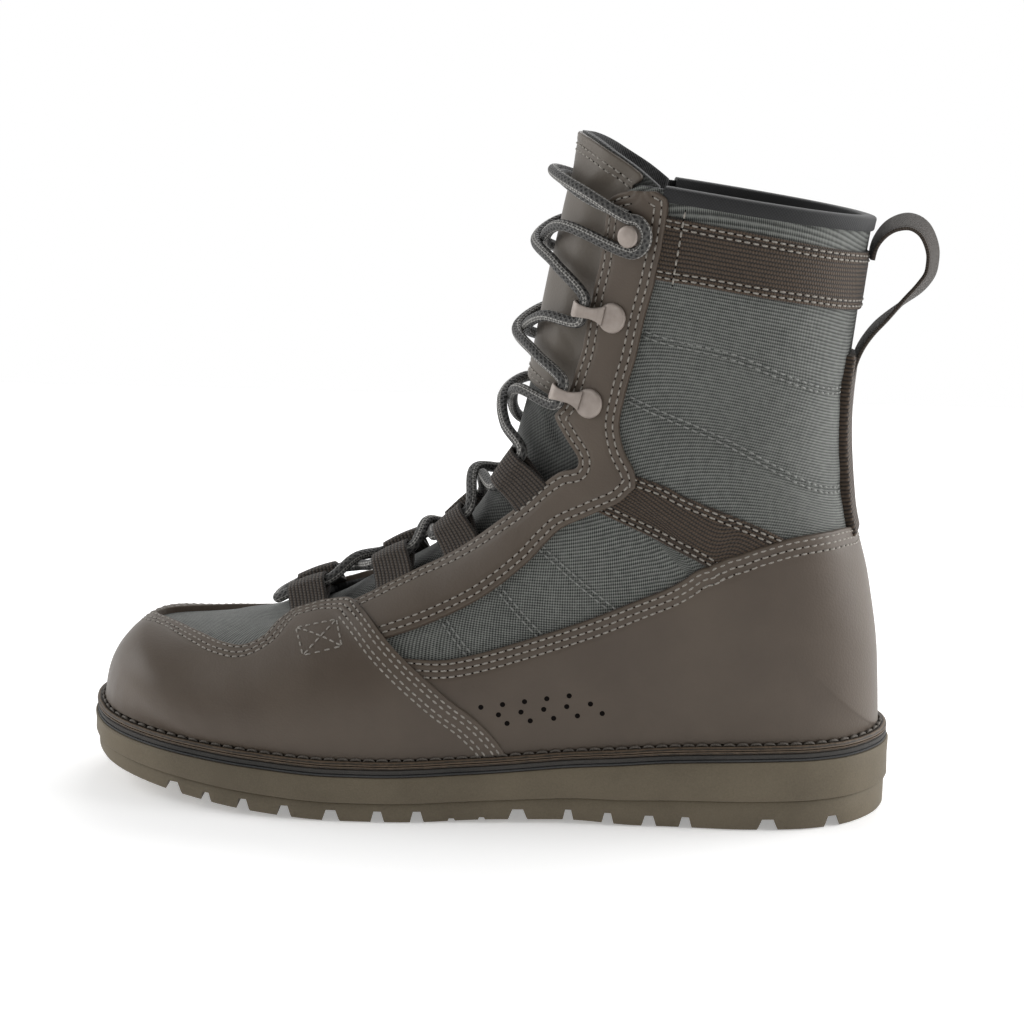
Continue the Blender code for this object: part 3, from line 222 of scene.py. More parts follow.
GROOVES = table(Groove, (
    (0.058, 0.006, 0.0044), (0.136, 0.0078, 0.0044), (0.233, 0.0049, 0.0044), (0.276, 0.0056, 0.0044),
    (0.325, 0.0045, 0.0044), (0.372, 0.0041, 0.0044), (0.432, 0.0074, 0.0044), (0.475, 0.0034, 0.0014),
    (0.511, 0.0034, 0.0014), (0.552, 0.0052, 0.0046), (0.599, 0.0052, 0.0046), (0.655, 0.0067, 0.0046),
    (0.712, 0.0056, 0.0046), (0.763, 0.0053, 0.0046), (0.81, 0.0045, 0.0038), (0.853, 0.007, 0.0044),
))
QUILT_LINES = (
    (Spot(7.80, 0.445), Spot(8.10, 0.625)),
    (Spot(8.72, 0.400), Spot(9.02, 0.615)),
    (Spot(9.60, 0.350), Spot(10.00, 0.590)),
    (Spot(14.70, 0.320), Spot(15.84, 0.614), Spot(16.26, 0.925)),
    (Spot(13.22, 0.285), Spot(14.34, 0.576), Spot(15.12, 0.919)),
)
LOOPS = table(Spot, (
    (5.8, 0.122), (7.14, 0.14), (8.35, 0.148), (10.0, 0.16),
))
HOOKS = table(Spot, (
    (12.55, 0.221), (14.54, 0.265),
))
STUD = Spot(16.76, 0.318)
HOOK_RISE = (0.0030, 0.0052, 0.0072, 0.0092)
HOOK_WIDTHS = ((0.0, 0.0074), (0.12, 0.0052), (0.26, 0.0041), (0.42, 0.0045), (0.60, 0.0058), (1.0, 0.0060))
HOOK_DISC = (
    (0.0, 0.0016), (0.0044, 0.0016), (0.0049, 0.00145), (0.00525, 0.0011), (0.0054, 0.0006),
    (0.0053, 0.0001), (0.0051, -0.0003), (0.0, -0.0003),
)
STUD_PROFILE = (
    (0.0, 0.0065), (0.0031, 0.0065), (0.0036, 0.0062), (0.00385, 0.0057), (0.0037, 0.0053), (0.0019, 0.0050),
    (0.0018, 0.0014), (0.0032, 0.0008), (0.0037, 0.0004), (0.0037, -0.0002), (0.0, -0.0002),
)
WRAP_ANGLES = (205, 160, 115, 70, 25, -15)
OVER_TONGUE = table(Spot, ((17.3, 0.21), (17.5, 0.11), (17.62, 0.0), (17.5, -0.11), (17.3, -0.20)))
BOX_TACK = table(Spot, ((5.73, 0.400), (6.32, 0.395), (6.44, 0.530), (5.88, 0.556)))
DRAIN_FIRST = Spot(8.07, 0.815)
DRAIN_COLUMN = Spot(0.232, -0.0006)
DRAIN_ROW = Spot(0.105, 0.035)
LAMPS = (
    ("left", (-1.15, -0.05, 0.62), 0.9, 8.0),
    ("right", (1.10, 0.15, 0.55), 1.0, 14.0),
    ("back", (0.1, 1.1, 1.1), 1.0, 8.0),
)


def smooth_step(low: float, high: float, value: Array | float) -> Array:
    """Share from 0 at low to 1 at high, level at both ends.

    Args:
        low: Value that gives 0.
        high: Value that gives 1.
        value: Values to turn into shares.

    Returns:
        Shares, 3 s^2 - 2 s^3 of the straight share s.
    """
    share = np.clip((np.asarray(value, float) - low) / (high - low), 0.0, 1.0)
    return share * share * (3.0 - 2.0 * share)


def hermite(s: Array, span: Array, left: Array, values: Array, slopes: Array) -> Array:
    """Cubic through the values at both ends of each span with the slopes there.

    Args:
        s: Share of the way along each span.
        span: Lengths of the spans.
        left: Index of each span's lower end.
        values: Values at the ends.
        slopes: Slopes at the ends.

    Returns:
        Values at the shares.
    """
    rest = 1 - s
    return (
        (1 + 2 * s) * rest * rest * values[left]
        + s * rest * rest * span * slopes[left]
        + s * s * (3 - 2 * s) * values[left + 1]
        - s * s * rest * span * slopes[left + 1]
    )


def curve(knots: Sequence[float], values: Sequence[float], places: Array | float) -> Array:
    """Cubic Hermite curve through the values that never swings past them.

    Args:
        knots: Rising places of the values.
        values: Values at the knots.
        places: Places to read; they are kept within the knots.

    Returns:
        Values at the places, with harmonic mean slopes at the knots.
    """
    x, y = np.asarray(knots, float), np.asarray(values, float)
    spans = np.diff(x)
    rises = np.diff(y) / spans
    slopes = np.empty_like(y)
    slopes[0], slopes[-1] = rises[0], rises[-1]
    before, after = rises[:-1], rises[1:]
    weigh_before, weigh_after = spans[:-1] + 2 * spans[1:], 2 * spans[:-1] + spans[1:]
    same = before * after > 0
    mean = (weigh_before + weigh_after) / (
        weigh_before / np.where(same, after, 1.0) + weigh_after / np.where(same, before, 1.0)
    )
    slopes[1:-1] = np.where(same, mean, 0.0)
    at = np.clip(np.asarray(places, float), x[0], x[-1])
    left = np.clip(np.searchsorted(x, at, side="right") - 1, 0, len(x) - 2)
    span = spans[left]
    return hermite((at - x[left]) / span, span, left, y, slopes)


def unit(vectors: Array) -> Array:
    """Vectors of length 1 along the last axis."""
    return vectors / (np.linalg.norm(vectors, axis=-1, keepdims=True) + 1e-15)


def arc_length(points: Array, axis: int = 0) -> Array:
    """Length walked to each point along one axis of an array of points."""
    steps = np.linalg.norm(np.diff(points, axis=axis), axis=-1)
    start = np.zeros_like(np.take(steps, [0], axis=axis))
    return np.concatenate([start, np.cumsum(steps, axis=axis)], axis=axis)


def read_line(places: Array, walked: Array, line: Array) -> Array:
    """Rows of a line read at lengths along it, by straight shares between its own rows."""
    return np.column_stack([np.interp(places, walked, column) for column in line.T])


def off_line(a: Spot, b: Spot, station: Array, around: Array, scale: Spot) -> tuple[Array, Array]:
    """Share along the line between two spots, and the distance from it, on the surface laid flat.

    Args:
        a: Start of the line.
        b: End of the line.
        station: Stations to measure.
        around: Shares around to measure.
        scale: Metres for one station and for the whole way around.

    Returns:
        Shares from 0 to 1, and distances.
    """
    run = np.array([(b.station - a.station) * scale.station, (b.around - a.around) * scale.around])
    s = (station - a.station) * scale.station
    t = (around - a.around) * scale.around
    share = np.clip((s * run[0] + t * run[1]) / (run @ run), 0.0, 1.0)
    return share, np.hypot(s - share * run[0], t - share * run[1])


def distance_to(points: Array, line: Array, step: float = 0.00015) -> Array:
    """Distance from each point to the nearest place on a line of points.

    Args:
        points: Points, any leading shape.
        line: Points of the line, in order.
        step: Length of the even steps that the line is cut into.

    Returns:
        Distances, in the leading shape of the points.
    """
    walked = arc_length(line)
    places = np.linspace(0, walked[-1], int(walked[-1] / step) + 2)
    fine = read_line(places, walked, line)
    tree = KDTree(len(fine))
    for index, point in enumerate(fine.tolist()):
        tree.insert(point, index)
    tree.balance()
    found = [tree.find(point)[2] for point in points.reshape(-1, 3).tolist()]
    return np.array(found).reshape(points.shape[:-1])


@dataclass
class SolePlan:
    """Outline and heights of the layers under the foot, in the row's frame.

    Args:
        shift_x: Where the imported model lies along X.
        shift_y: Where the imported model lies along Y.
    """

    shift_x: float = 0.0
    shift_y: float = 0.0
    length: float = 0.312
    ball_width: float = 0.109
    heel_width: float = 0.0856
    collar_width: float = 0.0850
    outsole_heel: float = 0.0268
    outsole_ball: float = 0.0177
    outsole_toe: float = 0.0146
    toe_spring: float = 0.0113
    spring_length: float = 0.106
    arch_lift: float = 0.0012
    midsole_thick: float = 0.0025
    midsole_inset: float = 0.0009
    welt_thick: float = 0.0026
    welt_width: float = 0.0170
    welt_shows: float = 0.0052
    layer_gap: float = 0.0003

    @property
    def heel_x(self) -> float:
        """Place of the heel's end before the shift."""
        return self.length / 2

    def half_width(self, along: Array | float, up: float = 0.0) -> Array:
        """Half the width that rules at a place: heel, ball or, up the shaft, collar.

        Args:
            along: Share of the way from heel to toe.
            up: Share of the shaft's height.

        Returns:
            Half widths.
        """
        share = smooth_step(0.25, 0.55, along)
        sole = self.heel_width + (self.ball_width - self.heel_width) * share
        return (sole + (self.collar_width - sole) * smooth_step(0.0, 0.9, up)) / 2

    def outline(self, inset: float | Array, half_steps: int = OUTLINE_STEPS) -> Array:
        """Closed ring of XY points round the sole.

        The two sides are cubic curves of the angle t, with x falling as (1 - cos t) / 2.

        Args:
            inset: Distance in from the sole's edge, for all points or for each.
            half_steps: Points from heel to toe.

        Returns:
            Points in order from the heel round the inner side, unshifted.
        """
        turn = np.linspace(0.0, np.pi, half_steps + 1)
        along = (1 - np.cos(turn)) / 2
        knots = np.arccos(1 - 2 * np.array([row.along for row in OUTLINE]))
        half = self.half_width(along)
        lateral = curve(knots, [row.lateral for row in OUTLINE], turn) * half
        medial = curve(knots, [row.medial for row in OUTLINE], turn) * half
        x = self.heel_x - self.length * along
        ring = np.concatenate([np.stack([x, medial], 1), np.stack([x, -lateral], 1)[-2:0:-1]])
        step = np.roll(ring, -1, 0) - np.roll(ring, 1, 0)
        outward = unit(np.stack([step[:, 1], -step[:, 0]], 1))
        return ring - outward * np.reshape(inset, (-1, 1))

    def ground(self, x: Array) -> Array:
        """Height of the tread over the floor: level, then rising with the power 1.5 to the toe."""
        start = self.spring_length - self.heel_x
        return self.toe_spring * np.clip((start - x) / self.spring_length, 0.0, None) ** 1.5

    def tread(self, x: Array) -> Array:
        """Height of the tread's lower face, raised at the waist.

        Args:
            x: Places along the sole.

        Returns:
            Heights.
        """
        along = (self.heel_x - x) / self.length
        arch = smooth_step(0.28, 0.38, along) * (1 - smooth_step(0.46, 0.56, along))
        return self.ground(x) + self.arch_lift * arch

    def outsole_top(self, x: Array) -> Array:
        """Height of the outsole's upper face.

        Args:
            x: Places along the sole.

        Returns:
            Heights.
        """
        along = (self.heel_x - x) / self.length
        fall = (self.outsole_ball - self.outsole_heel) * smooth_step(0.12, 0.62, along)
        toe = (self.outsole_toe - self.outsole_ball) * smooth_step(0.72, 1.0, along)
        return self.ground(x) + self.outsole_heel + fall + toe

    def midsole_top(self, x: Array) -> Array:
        """Height of the midsole's upper face."""
        return self.outsole_top(x) + self.layer_gap + self.midsole_thick

    def welt_top(self, x: Array) -> Array:
        """Height of the welt's upper face."""
        return self.midsole_top(x) + self.layer_gap + self.welt_thick

    def seat(self, x: Array) -> Array:
        """Height of the upper's lower edge."""
        return self.welt_top(x) + self.layer_gap

    def place(self, points: Array) -> Array:
        """Points moved from the sole's own frame into the row's frame."""
        return points + np.array([self.shift_x, self.shift_y, 0.0])


@dataclass(frozen=True)
class Crease:
    """Soft trough or ridge in the upper: a line between two spots, its depth and its half width."""

    start: Spot
    end: Spot
    depth: float
    width: float


CREASE_SCALE = Spot(0.021, 0.17)
QUILT_SCALE = Spot(0.024, 0.19)
CREASES = (
    Crease(Spot(11.3, 0.34), Spot(12.9, 0.62), 0.0007, 0.0050),
    Crease(Spot(12.3, 0.31), Spot(13.7, 0.66), -0.0005, 0.0060),
    Crease(Spot(9.6, 0.36), Spot(10.6, 0.50), 0.0004, 0.0040),
    Crease(Spot(4.9, 0.00), Spot(5.2, 0.30), 0.0005, 0.0040),
    Crease(Spot(4.5, 0.00), Spot(4.7, 0.26), -0.0004, 0.0040),
    Crease(Spot(15.2, 0.60), Spot(15.6, 0.95), 0.0005, 0.0050),
    Crease(Spot(9.3, 0.02), Spot(9.5, 0.20), 0.0009, 0.0032),
    Crease(Spot(11.0, 0.02), Spot(11.2, 0.22), 0.0009, 0.0032),
    Crease(Spot(13.2, 0.10), Spot(13.0, 0.17), 0.0005, 0.0026),
)


@dataclass
class BootForm:
    """Outer surface of the upper, read by station along it and by share of the way around it.

    Station counts the rows of SECTIONS. Around is the share of the arc from the front line, 0, to the
    sole edge or the back line, -1 on the lateral side and 1 on the medial side.
    """

    plan: SolePlan
    shaft_height: float = 0.200
    fine: int = 24
    half: int = 200
    dense: int = 480
    clear: float = 0.0001
    points: Array = field(init=False)
    normals: Array = field(init=False)

    def __post_init__(self) -> None:
        """Work out the grid of points and their normals."""
        plan = self.plan
        stations = np.arange((len(SECTIONS) - 1) * self.fine + 1) / self.fine
        knots = range(len(SECTIONS))
        rows = {
            name: curve(knots, [getattr(row, name) for row in SECTIONS], stations)
            for name in Section._fields
        }
        feather_x = plan.heel_x - plan.welt_shows
        feather_length = plan.length - 2 * plan.welt_shows
        front_x = feather_x - feather_length * rows["front_along"]
        back_x = feather_x - feather_length * rows["back_along"]
        front_z = plan.seat(front_x) + self.shaft_height * rows["front_up"]
        back_z = plan.seat(back_x) + self.shaft_height * rows["back_up"]
        steps = OUTLINE_STEPS
        feather = plan.outline(plan.welt_shows, steps)
        inner = feather[: steps + 1]
        outer = np.vstack([feather[steps:], feather[:1]])[::-1]
        share = (1 + np.cos(np.linspace(0.0, np.pi, self.dense))) / 2
        around = np.linspace(0.0, 1.0, self.half + 1)
        grid = np.empty((len(stations), 2 * self.half + 1, 3))
        for i, station in enumerate(stations):
            row = {name: values[i] for name, values in rows.items()}
            x = back_x[i] + (front_x[i] - back_x[i]) * share
            z = back_z[i] + (front_z[i] - back_z[i]) * share
            edge_x = back_x[i] + (-plan.heel_x + plan.welt_shows - back_x[i]) * share
            local = plan.half_width((plan.heel_x - back_x[i]) / plan.length, row["back_up"])
            for sign, edge, extra in ((-1, outer, row["lateral"]), (1, inner, row["medial"])):
                half = np.interp(-edge_x, -edge[:, 0], sign * edge[:, 1])
                foot = half[-1] if station < HEEL_STATION else 0.0
                widest = row["feather"] * foot + extra * local
                y = self.section(share, foot, widest, row)
                lean = np.where(share > row["belly"], 1 - y / widest, 0.0)
                ridge = row["ridge"] * plan.ball_width * lean
                flat = 1 - smooth_step(0.0, CROWN_STATION, station)
                y = (1 - flat) * (sign * y + ridge) + flat * sign * half
                path = np.column_stack([x, y, z])
                length = arc_length(path)
                side = read_line(around * length[-1], length, path)
                if sign < 0:
                    grid[i, : self.half + 1] = side[::-1]
                else:
                    grid[i, self.half :] = side
        self.points = plan.place(self.soften(grid))
        self.normals = self.outward()

    def soften(self, grid: Array) -> Array:
        """Points averaged lightly with their neighbours around, so that no facet of the tables shows.

        Args:
            grid: Grid of points.

        Returns:
            The same grid, softened.
        """
        for _ in range(6):
            grid[:, 1:-1] = grid[:, 1:-1] * 0.5 + (grid[:, :-2] + grid[:, 2:]) * 0.25
            grid[1:-1, 1:-1] = grid[1:-1, 1:-1] * 0.5 + (grid[:-2, 1:-1] + grid[2:, 1:-1]) * 0.25
        return grid

    @staticmethod
    def section(share: Array, foot: float, widest: float, row: dict[str, float]) -> Array:
        """Half width along one section.

        Args:
            share: Share of the way up from the back point to the front point.
            foot: Half width at the sole's edge.
            widest: Half width at the belly.
            row: Values of the section's fields.

        Returns:
            A rounded crown, a superellipse quarter, over a base that narrows to the sole edge.
        """
        belly = max(row["belly"], 1e-4)
        high = np.clip((share - belly) / (1 - belly), 0.0, 1.0)
        low = np.clip(1 - share / belly, 0.0, 1.0)
        crown = widest * (1 - high ** row["crown"]) ** (1 / row["side"])
        base = np.sqrt(foot**2 + (widest**2 - foot**2) * (1 - low ** row["base"]))
        return np.where(share > belly, crown, base)

    def outward(self) -> Array:
        """Unit normals of the surface, shared along the back line where both sides meet.

        Returns:
            Normals in the shape of the points.
        """
        along = np.gradient(self.points, axis=0)
        across = np.gradient(self.points, axis=1)
        normals = unit(np.cross(along, across))
        start = HEEL_STATION * self.fine
        joined = unit(normals[start:, 0] + normals[start:, -1])
        normals[start:, 0] = joined
        normals[start:, -1] = joined
        return normals

    def mix(self, grid: Array, station: Array, around: Array) -> Array:
        """Values of a grid between its points, by straight shares both ways.

        Args:
            grid: Grid of points or normals.
            station: Stations.
            around: Shares around.

        Returns:
            Values at the places.
        """
        u = np.clip(station * self.fine, 0, grid.shape[0] - 1)
        v = np.clip((around + 1) * self.half, 0, grid.shape[1] - 1)
        i = np.minimum(u.astype(int), grid.shape[0] - 2)
        j = np.minimum(v.astype(int), grid.shape[1] - 2)
        p, q = (u - i)[..., None], (v - j)[..., None]
        low = (1 - q) * grid[i, j] + q * grid[i, j + 1]
        high = (1 - q) * grid[i + 1, j] + q * grid[i + 1, j + 1]
        return (1 - p) * low + p * high

    def creased(self, station: Array, around: Array) -> Array:
        """Depth of the listed creases at each place, as sums of soft troughs along lines.

        Args:
            station: Stations.
            around: Shares around.

        Returns:
            Heights to add to the lift.
        """
        total = np.zeros(np.broadcast(station, around).shape)
        for crease in CREASES:
            for side in (-1, 1):
                share, off = off_line(crease.start, crease.end, station, side * around, CREASE_SCALE)
                fade = np.sin(np.pi * np.clip(share, 0.04, 0.96))
                total = total - crease.depth * fade * np.exp(-((off / crease.width) ** 2))
        return total

    def at(self, station: Array, around: Array, lift: Array | float = 0.0, soft: bool = True) -> Array:
        """Points on the surface, lifted off it along its normal.

        Args:
            station: Stations to read.
            around: Shares around.
            lift: Height off the surface.
            soft: Whether the creases move the points.

        Returns:
            Points in the row's frame, kept over the welt.
        """
        station, around, lift = np.broadcast_arrays(
            np.asarray(station, float), np.asarray(around, float), np.asarray(lift, float)
        )
        normal = unit(self.mix(self.normals, station, around))
        if soft:
            lift = lift + self.creased(station, around)
        points = self.mix(self.points, station, around) + normal * lift[..., None]
        floor = self.plan.welt_top(points[..., 0] - self.plan.shift_x) + self.clear
        points[..., 2] = np.maximum(points[..., 2], floor)
        return points

    def flat(self, station: Array, around: Array) -> Array:
        """Points on the surface itself, without lift or creases."""
        return self.at(station, around, 0.0, soft=False)

    def normal(self, station: Array | float, around: Array | float) -> Array:
        """Unit normals of the surface."""
        station, around = np.broadcast_arrays(np.asarray(station, float), np.asarray(around, float))
        return unit(self.mix(self.normals, station, around))

    def slide(self, station: Array, around: Array, move: Array) -> tuple[Array, Array]:
        """Places reached by small moves along the surface.

        Each of three rounds splits what is left of the move on the surface's two tangents, which is
        a 2 by 2 least squares solve.

        Args:
            station: Stations at the start.
            around: Shares around at the start.
            move: Way to go, in metres.

        Returns:
            Stations and shares around at the end.
        """
        goal = self.flat(station, around) + move
        s, a = np.array(station, float), np.array(around, float)
        for _ in range(3):
            along = (self.flat(s + 0.02, a) - self.flat(s - 0.02, a)) / 0.04
            across = (self.flat(s, a + 0.002) - self.flat(s, a - 0.002)) / 0.004
            rest = goal - self.flat(s, a)
            ss, aa, sa = (along * along).sum(-1), (across * across).sum(-1), (along * across).sum(-1)
            sr, ar = (along * rest).sum(-1), (across * rest).sum(-1)
            scale = np.maximum(ss * aa - sa * sa, 1e-12)
            s = s + (sr * aa - ar * sa) / scale
            a = a + (ar * ss - sr * sa) / scale
        return s, a

    def parallel(self, station: Array, around: Array, offset: float, inner: Array) -> tuple[Array, Array]:
        """Line on the surface at one distance from another line, without the loops at its corners.

        Args:
            station: Stations of the first line.
            around: Shares around of the first line.
            offset: Distance between the two.
            inner: Points that lie on the side to go to.

        Returns:
            Stations and shares around of the second line.
        """
        points = self.flat(station, around)
        way = unit(np.gradient(points, axis=0))
        inward = np.cross(self.normal(station, around), way)
        inward *= np.sign(((inner - points) * inward).sum())
        s, a = self.slide(station, around, unit(inward) * offset)
        clear = distance_to(self.flat(s, a), points) > 0.95 * offset
        return s[clear], a[clear]

    def frame(self, spot: Spot, side: int, lift: float = 0.0) -> tuple[Array, Array, Array, Array]:
        """Origin on the surface with its normal, the way along the stations and the way across.

        Args:
            spot: The place.
            side: Sign of the side.
            lift: Height off the surface.

        Returns:
            Origin, normal, way along and way across.
        """
        around = side * spot.around
        origin = self.at(spot.station, around, lift, soft=False)
        normal = self.normal(spot.station, around)
        along = self.at(spot.station + 0.1, around, lift) - self.at(spot.station - 0.1, around, lift)
        along = unit(along - normal * (along @ normal))
        return origin, normal, along, np.cross(normal, along)


def half_at(spots: Sequence[Spot], station: Array | float) -> Array:
    """Share around of an edge, by station, from its short table."""
    return curve(*np.array(spots).T, station)


def along_spots(spots: Sequence[Spot], count: int) -> tuple[Array, Array]:
    """Stations and shares around at even shares of a line of spots."""
    share, knots = np.linspace(0, 1, count), np.linspace(0, 1, len(spots))
    return tuple(curve(knots, column, share) for column in zip(*spots))


def vamp_rear_at(around: Array) -> Array:
    """Station of the vamp's rear edge by share around."""
    return curve(*np.array(VAMP_REAR).T[::-1], np.abs(around))


def vamp_base(station: Array, around: Array) -> Array:
    """Lift of the vamp's underside: it climbs over the foxing and the facings at its rear edge."""
    return -0.0008 + 0.0008 * smooth_step(-0.50, -0.12, station - vamp_rear_at(around))


def put(name: str, data: bpy.types.ID) -> Object:
    """New object in the scene for some data.

    Args:
        name: Its name.
        data: Mesh, lamp or camera.

    Returns:
        The object.
    """
    made = bpy.data.objects.new(name, data)
    bpy.context.scene.collection.objects.link(made)
    return made


def upright(place: Array, ahead: Array, right: Array, up: Array) -> Matrix:
    """Place and turn of a camera or lamp that looks ahead."""
    turn = Matrix(np.column_stack([right, up, -ahead]).tolist()).to_4x4()
    return Matrix.Translation(place.tolist()) @ turn


class MeshShop:
    """Makes mesh objects out of whole arrays of points."""

    body = "root"

    @classmethod
    def add(
        cls,
        name: str,
        points: Array,
        faces: Array,
        materials: Sequence[Material],
        uv: Array | None = None,
        marks: dict[str, Array] | None = None,
        sharp: float = 50.0,
        slots: Array | None = None,
    ) -> Object:
        """New smooth shaded object that rides on the boot; a quad that repeats a corner is made a triangle.

        Args:
            name: Name of the piece.
            points: Points, any leading shape.
            faces: Quads or triangles as rows of point indices.
            materials: Finishes, by slot.
            uv: Pattern coordinates of the points in metres.
            marks: Named numbers of the points, read by the finishes.
            sharp: Angle in degrees past which an edge stays sharp.
            slots: Finish slot of each face.

        Returns:
            The object.
        """
        points = np.asarray(points, float).reshape(-1, 3)
        corners = [tuple(dict.fromkeys(face)) for face in faces.tolist()]
        mesh = bpy.data.meshes.new(name)
        mesh.from_pydata(points.tolist(), [], corners)
        for made in materials:
            mesh.materials.append(made)
        if slots is not None:
            mesh.polygons.foreach_set("material_index", slots.astype(np.int32))
        if uv is not None:
            loops = np.empty(len(mesh.loops), np.int32)
            mesh.loops.foreach_get("vertex_index", loops)
            layer = mesh.uv_layers.new(name="surface")
            layer.data.foreach_set("uv", uv.reshape(-1, 2)[loops].astype(np.float32).ravel())
        for key, values in (marks or {}).items():
            layer = mesh.attributes.new(key, "FLOAT", "POINT")
            layer.data.foreach_set("value", np.asarray(values, np.float32).ravel())
        mesh.validate()
        cls.soften(mesh, sharp)
        piece = put(name, mesh)
        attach(piece, cls.body)
        return piece

    @staticmethod
    def soften(mesh: bpy.types.Mesh, sharp: float) -> None:
        """Shade a mesh smooth but for the edges past an angle in degrees."""
        mesh.shade_smooth()
        mesh.set_sharp_from_angle(angle=np.radians(sharp))

    @staticmethod
    def thicken(piece: Object, thickness: float, lined: bool = True) -> None:
        """Give a sheet its wall, inwards; a lined one shows its second finish inside and on its rim.

        Args:
            piece: The sheet.
            thickness: Thickness of the wall.
            lined: Whether it has a second finish.
        """
        wall = piece.modifiers.new("wall", "SOLIDIFY")
        wall.thickness = thickness
        wall.offset = -1.0
        if lined:
            wall.material_offset = 1
            wall.material_offset_rim = 1

    @staticmethod
    def quads(rows: int, columns: int, close_rows: bool = False, close_columns: bool = False) -> Array:
        """Quads of a grid, wrapped round where asked.

        Args:
            rows: Rows of points.
            columns: Points in a row.
            close_rows: Whether the last row joins the first.
            close_columns: Whether each row is a ring.

        Returns:
            Faces as rows of four point indices.
        """
        i = np.arange(rows if close_rows else rows - 1)[:, None]
        j = np.arange(columns if close_columns else columns - 1)[None, :]
        next_i, next_j = (i + 1) % rows, (j + 1) % columns
        corners = (i * columns + j, next_i * columns + j, next_i * columns + next_j, i * columns + next_j)
        return np.stack(np.broadcast_arrays(*corners), -1).reshape(-1, 4)

    @staticmethod
    def faced(points: Array, faces: Array, outward: Array) -> Array:
        """Faces turned so that they look the way that most of the outward vectors do.

        Args:
            points: The points.
            faces: The faces.
            outward: Outward vector of each point.

        Returns:
            The faces, turned round or not.
        """
        corners = points.reshape(-1, 3)[faces]
        normal = np.cross(corners[:, 1] - corners[:, 0], corners[:, -1] - corners[:, 0])
        agrees = (normal * outward.reshape(-1, 3)[faces[:, 0]]).sum()
        return faces if agrees >= 0 else faces[:, ::-1]

    @classmethod
    def sheet(
        cls,
        name: str,
        points: Array,
        outward: Array,
        materials: Sequence[Material],
        uv: Array | None = None,
        marks: dict[str, Array] | None = None,
        keep: Array | None = None,
        sharp: float = 50.0,
    ) -> Object:
        """Open sheet from a grid of points, facing the outward vectors.

        Args:
            name: Name of the piece.
            points: Grid of points, rows by columns by 3.
            outward: Outward vectors of the same shape.
            materials: Finishes, by slot.
            uv: Pattern coordinates.
            marks: Named numbers of the points.
            keep: Which quads of the grid stay.
            sharp: Angle in degrees past which an edge stays sharp.

        Returns:
            The object.
        """
        faces = cls.quads(*points.shape[:2])
        if keep is not None:
            faces = faces[keep.ravel()]
        faces = cls.faced(points, faces, np.broadcast_to(outward, points.shape))
        return cls.add(name, points, faces, materials, uv, marks, sharp)

    @classmethod
    def sweep(
        cls,
        name: str,
        rings: Array,
        materials: Sequence[Material],
        uv: Array | None = None,
        closed: bool = False,
        sharp: float = 50.0,
    ) -> Object:
        """Closed solid from rings of points carried along a path, with fanned ends.

        Args:
            name: Name of the piece.
            rings: Rings by points by 3.
            materials: Finishes, by slot.
            uv: Pattern coordinates of the rings' points.
            closed: Whether the last ring joins the first.
            sharp: Angle in degrees past which an edge stays sharp.

        Returns:
            The object, its faces turned outwards.
        """
        count, sides = rings.shape[:2]
        faces = cls.quads(count, sides, close_rows=closed, close_columns=True)
        points = rings.reshape(-1, 3)
        if not closed:
            middles = rings[[0, -1]].mean(1)
            points = np.vstack([points, middles])
            ring = np.arange(sides)
            nxt = (ring + 1) % sides
            low = np.stack([np.full(sides, len(points) - 2), ring, nxt, nxt], 1)
            last = (count - 1) * sides
            high = np.stack([np.full(sides, len(points) - 1), last + nxt, last + ring, last + ring], 1)
            if uv is not None:
                uv = np.vstack([uv.reshape(-1, 2), uv[[0, -1]].mean(1)])
            faces = np.vstack([faces, low, high])
        return cls.add(name, points, cls.solid(points, faces), materials, uv, sharp=sharp)

    @staticmethod
    def solid(points: Array, faces: Array) -> Array:
        """Faces of a closed solid turned outwards, by the sign of its volume.

        Args:
            points: Its points.
            faces: Its closed quads, each split in two triangles that reach to the origin.

        Returns:
            The faces, turned round where they looked inwards.
        """
        a, b, c, d = (points[faces[:, k]] for k in range(4))
        volume = (a * np.cross(b, c)).sum() + (a * np.cross(c, d)).sum()
        return faces if volume >= 0 else faces[:, ::-1]


